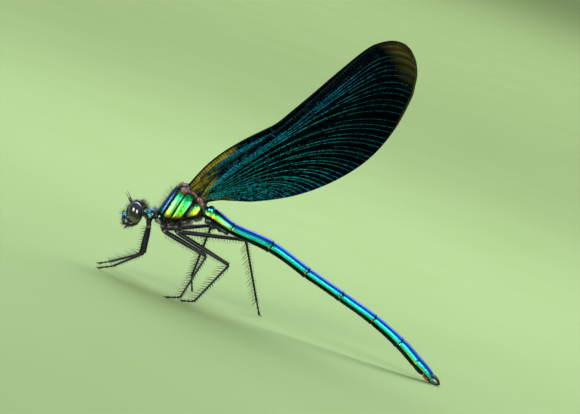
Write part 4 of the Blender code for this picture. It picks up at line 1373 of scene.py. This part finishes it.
# Plates below the second, third and last segments, given as the forms of the head are
BELLY_FORMS = {
    "front belly ridge": ((-10.1, 0.0, 9.78), (1.5, 0.46, 0.3), 14, 2.3, False, "black"),
    "front belly hook": ((-10.75, 0.2, 9.58), (0.42, 0.12, 0.24), 20, 2.3, True, "black"),
    "middle belly hook": ((-9.9, 0.24, 9.5), (0.36, 0.1, 0.2), 35, 2.3, True, "black"),
    "rear belly ridge": ((-9.05, 0.0, 9.42), (0.46, 0.24, 0.22), 12, 2.3, False, "black"),
    "first segment corner": ((-11.5, 0.45, 10.15), (0.5, 0.35, 0.4), -10, 2.3, True, "black"),
    "first segment lobe": ((-11.66, 0.5, 11.5), (0.5, 0.42, 0.52), -10, 2.3, True, "lobe"),
    "tail belly ridge": ((17.5, 0.0, 2.28), (1.4, 0.34, 0.24), 30, 2.3, False, "black"),
    "tail belly spot": ((18.5, 0.3, 1.6), (0.3, 0.16, 0.14), 30, 2.3, True, "rust"),
    "last belly ridge": ((19.5, 0.0, 1.08), (0.86, 0.42, 0.28), 27, 2.3, False, "black"),
    "last belly spot": ((20.72, 0.2, 0.5), (0.6, 0.3, 0.22), 27, 2.3, True, "rust"),
    "clasper root": ((20.3, 0.32, 0.86), (0.26, 0.26, 0.2), 27, 2.3, True, "bead"),
}
ABDOMEN_FINISHES = ("abdomen", "black", "rust", "bead", "lobe")


def abdomen_joints():
    joints = [ABDOMEN_START]
    for length, slope, *_ in ABDOMEN_SEGMENTS:
        joints.append(joints[-1] + slope_vector(slope) * length)
    return joints


def tergum_profile(around):
    """The section's own relief: the back plate ends in a low step above the belly."""
    step = smooth_step((around - TERGUM_EDGE) / 0.03)
    groove = math.exp(-((around - TERGUM_EDGE - 0.02) / 0.02) ** 2)
    return 1 - TERGUM_STEP * step - 0.03 * groove


def abdomen_ring(centre, direction, half, belly=0.0):
    """A section square to the abdomen's direction, deeper below by the belly's share, above the floor."""
    up = Vector((-direction.z, 0.0, direction.x))
    ring = []
    for index in range(ABDOMEN_RING_POINTS):
        angle = 2 * math.pi * index / ABDOMEN_RING_POINTS
        around = 1 - abs(1 - 2 * index / ABDOMEN_RING_POINTS)
        size = half * tergum_profile(around)
        height = signed_power(math.cos(angle), 2 / ABDOMEN_SQUARENESS) * size
        height *= 1 + (belly if height < 0 else 0)
        reach = signed_power(math.sin(angle), 2 / ABDOMEN_SQUARENESS) * size * ABDOMEN_WIDTH_SHARE
        point = centre + up * height + Vector((0.0, reach, 0.0))
        ring.append(Vector((point.x, point.y, max(point.z, 0.0))))
    return ring


def make_abdomen(finishes):
    """One skin over the ten segments, whose rims and joints are raised in it, with the claspers."""
    joints = abdomen_joints()
    spine = numbered(joints)
    first_direction = slope_vector(ABDOMEN_SEGMENTS[0][1])
    root = joints[0] + first_direction * -ABDOMEN_ROOT_LENGTH
    root_size = ABDOMEN_SEGMENTS[0][2] / 2 * SEGMENT_RINGS[0][1]
    rings = [abdomen_ring(root.lerp(joints[0], share), first_direction, root_size) for share in (0.0, 0.5)]
    values = [{"along": 0.5, "front": 1.0}] * len(rings)
    for index, (_, _, front, middle, back) in enumerate(ABDOMEN_SEGMENTS):
        depths = ((0.0, front), (0.5, middle), (1.0, back))
        for share, size in SEGMENT_RINGS:
            place = index + share
            direction = (curve_value(spine, place + 0.01) - curve_value(spine, place - 0.01)).normalized()
            half = curve_value(depths, share) * size / 2
            belly = BELLY_DEPTH * rise(place, *BELLY_START) * fall(place, *BELLY_END)
            rings.append(abdomen_ring(curve_value(spine, place), direction, half, belly))
            values.append({
                "along": place, "front": fall(place, *FRONT_END), "rear": rise(place, *REAR_START)})
    shell = Shell("along", "around", "front", "rear")
    shell.add_rings(rings, 0, values)
    for points, radii in ((CLASPER_POINTS, CLASPER_RADII), (LOWER_CLASPER_POINTS, LOWER_CLASPER_RADII)):
        for side in SIDES.values():
            shell.add_tube(
                [mirrored(point, side) for point in points], radii, finish=ABDOMEN_FINISHES.index("black"))
    plates = Shell()
    plates.add_forms(BELLY_FORMS, ABDOMEN_FINISHES)
    shell.absorb(plates.grown_together())
    abdomen = shell.piece("abdomen_shell", [finishes[name] for name in ABDOMEN_FINISHES])
    return settle(abdomen, "blue_shell", *[f"abdomen_{index + 1}" for index in range(len(ABDOMEN_SEGMENTS))])


# Legs

def standing(point, radius):
    """The point, raised where needed so that a limb of this radius rests on the floor."""
    return Vector((point.x, point.y, max(point.z, radius)))


def leg_points(name):
    root, coxa, hip, knee, ankle, toe = (Vector(point) for point in LEGS[name])
    return root, coxa, hip, knee, standing(ankle, TIBIA_PROFILE[-1][1]), standing(toe, TARSUS_PROFILE[-1][1])


def make_leg(name, finishes):
    root, coxa, hip, knee, ankle, toe = leg_points(name)
    shell = Shell()
    coxa_profile = FRONT_COXA_PROFILE if name.startswith("front") else COXA_PROFILE
    shell.add_limb(root, coxa + (coxa - root).normalized() * COXA_OVERLAP, coxa_profile)
    shell.add_limb(coxa, hip + (hip - coxa).normalized() * TROCHANTER_OVERLAP, TROCHANTER_PROFILE)
    shell.add_limb(hip, hip + (knee - hip).normalized() * HIP_RING_LENGTH, HIP_RING_PROFILE, finish=1)
    shell.add_limb(hip, knee, FEMUR_PROFILE)
    shell.add_limb(knee, ankle, TIBIA_PROFILE)
    for start, end in zip(TARSUS_SHARES, TARSUS_SHARES[1:]):
        shell.add_limb(ankle.lerp(toe, start), ankle.lerp(toe, end), TARSUS_PROFILE, TARSUS_SIDES)
    forward = Vector((toe.x - ankle.x, toe.y - ankle.y, 0.0)).normalized()
    across = Vector((-forward.y, forward.x, 0.0))
    for turn in (-1.0, 1.0):
        out = (forward + across * (CLAW_SPREAD * turn)).normalized()
        claw = [
            toe, toe + out * (CLAW_LENGTH * 0.5) + Vector((0.0, 0.0, CLAW_ARCH)),
            Vector((toe.x, toe.y, CLAW_RADIUS)) + out * CLAW_LENGTH]
        shell.add_tube(claw, (CLAW_RADIUS, CLAW_RADIUS * 0.8, CLAW_RADIUS * 0.25), 8)
    piece = shell.piece("leg_shell_" + name, [finishes["leg"], finishes["pale"]])
    return settle(piece, "leg_shell", *[f"leg_{name}_{part}" for part in ("femur", "tibia", "tarsus")])


def comb_rows():
    """Lines of roots for the bristles of the thighs and shins, with heading and length."""
    points, edges, headings, reaches, places = [], [], [], [], []

    def add_row(start, end, outward, radius, lean, reach):
        row = len(points) / (len(LEGS) * COMB_ROWS * (COMB_STEPS + 1))
        axis = (end - start).normalized()
        outward = (outward - axis * outward.dot(axis)).normalized()
        heading = (outward + axis * lean).normalized()
        first, last = COMB_ENDS
        room = 1 - 2 * COMB_MARGIN
        for step in range(COMB_STEPS + 1):
            share = first + (last - first) * step / COMB_STEPS
            points.append((start.lerp(end, share) + outward * (radius * 0.8)) * MM)
            headings.append(heading)
            reaches.append(reach * (1.0 - 0.35 * share))
            places.append((COMB_MARGIN + room * share, COMB_MARGIN + room * row, 0.0))
            if step:
                edges.append((len(points) - 2, len(points) - 1))

    for name in LEGS:
        _, _, hip, knee, ankle, toe = leg_points(name)
        side = SIDES[name.split("_")[1]]
        inside = (hip - knee).normalized()
        shin_in = ((hip + ankle) / 2 - knee).normalized()
        for spread in (-0.35, 0.35):
            across = (knee - hip).cross(ankle - knee).normalized() * spread
            add_row(hip, knee, shin_in * 0.8 + across, FEMUR_PROFILE[3][1], 0.25, 0.6)
            add_row(knee, ankle, inside + across, TIBIA_PROFILE[3][1], 0.75, 1.0)
            add_row(knee, ankle, -inside + across, TIBIA_PROFILE[3][1], 0.75, 0.4)
        add_row(hip, knee, -shin_in, FEMUR_PROFILE[3][1], 0.5, 0.25)
        add_row(ankle, toe, Vector((0.0, side * 0.3, 1.0)), 0.1, 0.8, 0.3)
    return points, edges, headings, reaches, places


def make_bristles(finishes, tree):
    points, edges, headings, reaches, places = comb_rows()
    vectors = {"heading": headings, "unwrap": places}
    base = wire_object("bristle rows", points, edges, {"reach": reaches}, vectors)
    piece = grown("leg_bristles", base, tree, {
        "Spacing": BRISTLE_SPACING * MM, "Length": BRISTLE_LENGTH * MM, "Radius": BRISTLE_RADIUS * MM,
        "Bend": BRISTLE_BEND, "Stray": COMB_STRAY, "Seed": COMB_SEED, "Finish": finishes["bristle"]})
    return settle(map_bristles(piece), "leg_shell")


# Wings

def planar(place):
    return Vector((place[0], place[1]))


def turned(degrees):
    angle = math.radians(degrees)
    return Vector((math.cos(angle), math.sin(angle)))


def chord_table(points):
    """Pair each point with how far along the line it lies, from 0 to 1."""
    places = [0.0]
    for before, after in zip(points, points[1:]):
        places.append(places[-1] + (planar(after) - planar(before)).length)
    return [(place / places[-1], planar(point)) for place, point in zip(places, points)]


def line_at(number):
    """The place of a numbered line between the leading edge, 0, and the last vein, 1."""
    table = [(i * LINES_PER_VEIN, line) for i, line in enumerate(VEIN_LINES)]
    uneven = UNEVENNESS * math.sin(2.1 * number) * math.sin(math.pi * min(number / LINE_COUNT, 1.0)) ** 0.5
    return straight_value(table, number + uneven)


def wing_place(wing, number, along):
    """A place on the wing: the numbered line picks the vein, along goes out on it from 0 to 1."""
    line = line_at(number)
    leading, margin = wing["leading_table"], wing["margin_table"]
    root_line = [planar(point) for point in wing["root_line"]]
    start = root_line[0].lerp(root_line[1], line)
    end = curve_value(margin, line)
    rest = 1 - along
    edge = None
    if line < LEADING_BLEND:
        edge = curve_value(leading, along)
        drop = curve_value(COSTAL_WIDTHS, along) * smooth_step(line / COSTAL_BAND)
        edge = edge + (start - root_line[0]) * rest + (end - margin[0][1]) * along - Vector((0.0, drop))
        if line == 0.0:
            return edge
    reach = (end - start).length
    start_pull = start + turned(curve_value(VEIN_START_ANGLES, line)) * (reach * START_PULL)
    end_pull = end - turned(curve_value(VEIN_END_ANGLES, line)) * (reach * END_PULL)
    free = (
        start * rest ** 3 + start_pull * (3 * rest ** 2 * along)
        + end_pull * (3 * rest * along ** 2) + end * along ** 3
    )
    return free if edge is None else edge.lerp(free, smooth_step(line / LEADING_BLEND))


def wing_height(wing, number, along, out):
    """Distance of the wing's surface from the middle plane: folds between the veins and a low arch."""
    settle_share = smooth_step(out / WING_BEND_LENGTH)
    layer = wing["root_layer"] + (wing["layer"] - wing["root_layer"]) * settle_share
    fold = CORRUGATION * math.cos(math.pi * number) * smooth_step((along - 0.15) * 3)
    waves = CORRUGATION * math.cos(2 * math.pi * number / LINES_PER_VEIN)
    fold += waves * (1 - along) * smooth_step(along * 6)
    arch = CAMBER * math.sin(math.pi * along) * math.sin(math.pi * number / LINE_COUNT)
    return layer + fold + arch


def wing_tones(wing, number, along, out, forward):
    """Where the wing is amber, brown, bright or blue, and how near it is to the crest of a pleat."""
    line = line_at(number)
    amber_reach = straight_value(wing["amber"], line)
    brown = rise(along - 0.35 * line, BROWN_START, 0.07) * (1 - rise(line, 0.02, BROWN_SPREAD))
    brown *= 0.6 + 0.4 * math.sin(1.9 * number)
    pale_edge = rise(along, PALE_EDGE, 0.006) * smooth_step((0.36 - line) * 8) * smooth_step(line * 30)
    trailing = rise(along, 0.82, 0.18) * rise(line, 0.35, 0.2)
    tip_shade = 1 - 0.6 * rise(along, 0.7, 0.15) * (1 - rise(line, 0.4, 0.3))
    behind = (1 - 0.6 * rise(out + forward, 12.0, 15.0)) * (0.52 + 0.48 * rise(line, 0.45, 0.3))
    ahead = 0.5 * (1 - rise(line, 0.12, 0.1))
    return {
        "amber": 1 - rise(out - amber_reach, -0.9, 1.8),
        "tip": max(brown, pale_edge),
        "bright": tip_shade * max(behind, ahead),
        "root": (1 - rise(out, 5.0, 8.0)) * max(rise(line, 0.12, 0.1), 1.2 * (line <= COSTAL_BAND)),
        "blue": max(0.7 * (1 - rise(line, 0.06, 0.2)), trailing * 0.8),
        "crest": (0.5 + 0.5 * math.cos(math.pi * number)) * (0.68 + 0.32 * math.sin(1.7 * number)),
    }


def wing_spot(wing, side, number, along):
    """A point on the wing in the part's frame, and the wing's tones there."""
    out, forward = wing_place(wing, number, along)
    axis = Vector((math.cos(WING_AXIS_ANGLE), 0.0, math.sin(WING_AXIS_ANGLE)))
    front = Vector((-math.sin(WING_AXIS_ANGLE), 0.0, math.cos(WING_AXIS_ANGLE)))
    height = wing_height(wing, number, along, out)
    point = wing["root"] + axis * out + front * forward + Vector((0.0, side * height, 0.0))
    return point, wing_tones(wing, number, along, out, forward)


def make_membrane(pair, side_name, finishes):
    """The thin pleated sheet between the veins."""
    wing = WINGS[pair]
    side = SIDES[side_name]
    sheet = Shell(*TONE_NAMES)
    rows = []
    for number in range(LINE_COUNT + 1):
        rows.append([
            sheet.add_point(*wing_spot(wing, side, number, station / MEMBRANE_STATIONS))
            for station in range(MEMBRANE_STATIONS + 1)])
    for near, far in zip(rows, rows[1:]):
        for index in range(MEMBRANE_STATIONS):
            corners = (near[index], near[index + 1], far[index + 1], far[index])
            sheet.add_face(corners if side > 0 else corners[::-1], 0)
    piece = sheet.piece(f"membrane_{pair}_{side_name}", [finishes["membrane"]], 180.0)
    wall = piece.modifiers.new("thickness", "SOLIDIFY")
    wall.thickness = MEMBRANE_THICKNESS * MM
    wall.offset = 0.0
    return settle(piece, "wing_membrane", f"wing_{pair}_{side_name}")


def vein_rank(number):
    if number % LINES_PER_TRUNK == 0:
        return "trunk"
    if number % LINES_PER_VEIN == 0:
        return "main"
    return "bright" if number % 2 == 0 else "dim"


def vein_starts(seed):
    """Where each line becomes a vein: the main ones at the root, the others farther out."""
    draw = random.Random(seed)
    starts = []
    for number in range(LINE_COUNT + 1):
        _, begin, spread, _ = VEIN_RANKS[vein_rank(number)]
        if number < LINES_PER_VEIN and begin > LATE_RANK:
            begin += LATE_START
        starts.append(begin + spread * draw.random())
    return starts


def vein_width(number, along):
    rank = vein_rank(number)
    base = COSTA_RADIUS if number == 0 else VEIN_RANKS[rank][0]
    root_swell = TRUNK_SWELL * (1 - smooth_step(along / 0.1)) if rank == "trunk" else 0.0
    return base * (1 - 0.4 * along) + root_swell


class Wires:
    """Lines of points over one wing, with how thick each is there and the tones of the wing."""

    def __init__(self, wing, side):
        self.wing = wing
        self.side = side
        self.points = []
        self.edges = []
        self.values = {name: [] for name in TONE_NAMES + ("thickness",)}

    def add(self, number, along, width, shine, joined):
        point, tones = wing_spot(self.wing, self.side, number, along)
        self.points.append(point * MM)
        for name, value in dict(tones, crest=shine, thickness=width * MM).items():
            self.values[name].append(value)
        if joined:
            self.edges.append((len(self.points) - 2, len(self.points) - 1))


def vein_wires(wing, side, starts):
    """The long veins, the wing's margin and the thick cross vein halfway out."""
    wires = Wires(wing, side)

    def add(number, along, width, joined):
        shine = VEIN_RANKS[vein_rank(number)][3] if number else COSTA_SHINE
        wires.add(number, along, width, shine, joined)

    for number, start in enumerate(starts):
        steps = max(8, round(VEIN_STEPS * (1 - start)))
        for step in range(steps + 1):
            along = start + (1 - start) * step / steps
            add(number, along, vein_width(number, along), step > 0)
    for number in range(LINE_COUNT * 2 + 1):
        add(number / 2, 1.0, MARGIN_RADIUS, number > 0)
    for number in range(LINES_PER_VEIN * 2 + 1):
        add(number, wing["nodus"] + NODUS_LEAN * number, NODUS_RADIUS * (1 - 0.05 * number), number > 0)
    return wires


def square_lean(wing, low, high, along):
    """How much farther out each half of a rung must end to stand square on its first vein."""
    near = wing_place(wing, low, along)
    far = wing_place(wing, high, along)
    step = wing_place(wing, high, along - LEAN_STEP) - far
    shift = (far - near).dot(step) / step.length_squared * LEAN_STEP
    return min(max(shift / 2, -LARGEST_LEAN), LARGEST_LEAN)


def rung_wires(wing, side, starts, seed):
    """The short cross veins between neighbouring veins, like the rungs of a ladder."""
    draw = random.Random(seed)
    wires = Wires(wing, side)

    def add_rung(low, high, along, lean, costal):
        # A few rungs get a painted glint; the others stay dark
        shine = 0.0 if costal else 0.8 * draw.random() ** 4
        width = COSTAL_RUNG_RADIUS if costal else RUNG_RADIUS
        for corner in range(3):
            number = low + (high - low) * corner / 2
            wires.add(number, min(max(along + lean * corner, 0.0), 1.0), width, shine, corner > 0)

    for span in (LINES_PER_VEIN, 2, 1):
        for low in range(0, LINE_COUNT, span):
            high = low + span
            inner = starts[low + 1:high]
            costal = span == LINES_PER_VEIN and low == 0
            begin = RUNG_START if span == LINES_PER_VEIN else max(starts[low], starts[high])
            begin = COSTAL_RUNG_START if costal else begin
            finish = min(inner) if inner else RUNG_END
            length = (wing_place(wing, low, 1.0) - wing_place(wing, low, 0.0)).length
            spacing = (COSTAL_RUNG_SPACING if costal else RUNG_SPACING) / max(length, SHORTEST_LINE)
            along = begin + spacing * draw.random()
            while along < finish:
                lean = square_lean(wing, low, high, along) + spacing * (draw.random() - 0.5) * 0.3
                add_rung(low, high, along, lean, costal)
                along += spacing * (0.8 + 0.4 * draw.random())
    return wires


def make_veins(pair, side_name, finishes, tree):
    wing = WINGS[pair]
    side = SIDES[side_name]
    starts = vein_starts(wing["seed"])
    for part, wires, sides in (
            ("veins", vein_wires(wing, side, starts), 6),
            ("rungs", rung_wires(wing, side, starts, wing["seed"]), 3)):
        base = wire_object(part, wires.points, wires.edges, wires.values)
        piece = grown(f"{part}_{pair}_{side_name}", base, tree, {
            "Sides": sides, "Thickness": 1.0, "Finish": finishes["veins"]})
        settle(piece, "wing_membrane", f"wing_{pair}_{side_name}")


# Fine hairs

# Patches of fine hair: the skin they grow on, lowest and highest corner of the patch, how many a square
# millimetre, length, the direction they lean in, and the finish
HAIR_PATCHES = {
    "crown_hairs": ("head", (-21.6, -0.9, 8.75), (-20.3, 0.9, 9.8), 26.0, 0.55, (-0.1, 0.0, 0.5), "bristle"),
    "nape_hairs": ("head", (-20.4, -1.0, 8.7), (-19.4, 1.0, 9.8), 60.0, 0.8, (0.25, 0.0, 1.2), "bristle"),
    "brow_hairs": ("head", (-22.4, -0.9, 7.2), (-21.2, 0.9, 8.7), 20.0, 0.5, (-0.4, 0.0, 0.3), "bristle"),
    "jaw_hairs": ("head", (-22.4, -1.0, 5.4), (-20.2, 1.0, 6.9), 16.0, 0.42, (-0.4, 0.0, -0.4), "bristle"),
    "collar_hairs": (
        "prothorax", (-19.6, -1.2, 8.7), (-17.6, 1.2, 10.0), 14.0, 0.6, (-0.2, 0.0, 0.6), "hair"),
    "back_hairs": ("thorax", (-18.3, -1.3, 9.0), (-15.6, 1.3, 13.4), 7.0, 0.75, (-0.6, 0.0, 0.4), "hair"),
    "side_hairs": ("thorax", (-17.6, -2.0, 8.4), (-12.4, 2.0, 12.2), 2.5, 0.4, (0.0, 0.0, -0.2), "hair"),
    "breast_hairs": ("thorax", (-18.0, -1.6, 7.4), (-13.0, 1.6, 9.0), 7.0, 0.7, (0.0, 0.0, -0.8), "hair"),
    "belly_hairs": ("abdomen", (-12.2, -1.1, 8.6), (-8.2, 1.1, 10.3), 9.0, 0.5, (0.1, 0.0, -0.6), "bristle"),
}


def make_hairs(finishes, tree, skins):
    for number, (name, patch) in enumerate(HAIR_PATCHES.items()):
        skin_name, low, high, density, length, lie, finish = patch
        low, high = Vector(low) * MM, Vector(high) * MM
        mesh = skins[skin_name].data.copy()
        inside = [all(low[i] <= vertex.co[i] <= high[i] for i in range(3)) for vertex in mesh.vertices]
        store_values(mesh, {"reach": [1.0 if within else 0.0 for within in inside]})
        unwrap = mesh.attributes.new("unwrap", "FLOAT_VECTOR", "POINT")
        middle = (low + high) / 2
        for vertex, spot in zip(mesh.vertices, unwrap.data):
            turn = math.atan2(vertex.co.y - middle.y, vertex.co.z - middle.z) / (2 * math.pi)
            share = (vertex.co.x - low.x) / (high.x - low.x)
            spot.vector = (
                HAIR_MARGIN + (1 - 2 * HAIR_MARGIN) * share, 0.5 + HAIR_TURN_SHARE * turn, 0.0)
        piece = grown(name, add_object("hair base", mesh), tree, {
            "Density": density / MM ** 2, "Lie": lie, "Length": length * MM, "Radius": HAIR_RADIUS * MM,
            "Bend": BRISTLE_BEND, "Stray": HAIR_STRAY, "Seed": HAIR_SEED + number,
            "Finish": finishes[finish]})
        settle(map_bristles(piece), "dark_shell")


# Stage, light and camera

def make_floor():
    bpy.ops.mesh.primitive_plane_add(size=FLOOR_SIZE, location=(0.0, 0.0, 0.0))
    floor = bpy.context.object
    floor.name = "floor"
    material, tree, shader = new_finish("pale floor", Roughness=0.9, Specular_IOR_Level=0.15)
    share = product(tree, noise(tree, object_place(tree), 40.0, 2.0)["Fac"], 0.05)
    feed(tree, shader, {"Base Color": mix_colour(tree, share, FLOOR_COLOUR, FLOOR_PALE)})
    floor.data.materials.append(material)


def add_light(name, place, target, size, power, colour, lights_dull):
    data = bpy.data.lights.new(name, "AREA")
    data.shape = "ELLIPSE"
    data.size, data.size_y = size[0] * MM, size[1] * MM
    data.energy = power
    data.color = colour
    light = add_object(name, data)
    light.location = Vector(place) * MM
    light.rotation_euler = ((Vector(target) - Vector(place)) * MM).to_track_quat("-Z", "Y").to_euler()
    light.visible_diffuse = lights_dull


def make_light():
    world = bpy.data.worlds.new("studio")
    bpy.context.scene.world = world
    world.use_nodes = True
    background = world.node_tree.nodes["Background"]
    background.inputs["Color"].default_value = STUDIO_LIGHT
    background.inputs["Strength"].default_value = STUDIO_STRENGTH
    sun = add_object("soft sun", bpy.data.lights.new("soft sun", "SUN"))
    sun.data.energy = SUN_POWER
    sun.data.angle = SUN_SOFTNESS
    sun.visible_glossy = False
    sun.rotation_euler = SUN_TURN
    for name, settings in AREA_LIGHTS.items():
        add_light(name, *settings)


def make_camera():
    sink = Vector((0.0, math.cos(CAMERA_ELEVATION), -math.sin(CAMERA_ELEVATION)))
    level_up = Vector((0.0, math.sin(CAMERA_ELEVATION), math.cos(CAMERA_ELEVATION)))
    level_right = Vector((1.0, 0.0, 0.0))
    right = level_right * math.cos(CAMERA_ROLL) + level_up * math.sin(CAMERA_ROLL)
    up = level_up * math.cos(CAMERA_ROLL) - level_right * math.sin(CAMERA_ROLL)
    data = bpy.data.cameras.new("camera")
    data.lens = CAMERA_LENS
    data.sensor_width = CAMERA_SENSOR
    data.sensor_fit = "HORIZONTAL"
    data.clip_start = 0.01
    data.clip_end = 20.0
    camera = add_object("camera", data)
    turn = Matrix((right, up, -sink)).transposed().to_4x4()
    camera.matrix_world = Matrix.Translation((CAMERA_TARGET - sink * CAMERA_DISTANCE) * MM) @ turn
    bpy.context.scene.camera = camera


def main():
    bpy.context.scene.view_settings.view_transform = "Standard"
    make_camera()
    make_light()
    make_floor()
    finishes = make_finishes()
    for wing in WINGS.values():
        wing["leading_table"] = chord_table(wing["leading"])
        wing["margin_table"] = chord_table(wing["margin"])
    veins = vein_tree()
    for pair in WINGS:
        for side_name in SIDES:
            make_membrane(pair, side_name, finishes)
            make_veins(pair, side_name, finishes, veins)
    skins = {
        "head": make_head(finishes),
        "prothorax": make_prothorax(finishes),
        "thorax": make_thorax(finishes),
        "abdomen": make_abdomen(finishes),
    }
    for side_name in SIDES:
        make_eye(side_name, finishes)
        make_antenna(side_name, finishes)
    for name in LEGS:
        make_leg(name, finishes)
    make_bristles(finishes, comb_tree())
    make_hairs(finishes, down_tree(), skins)


main()
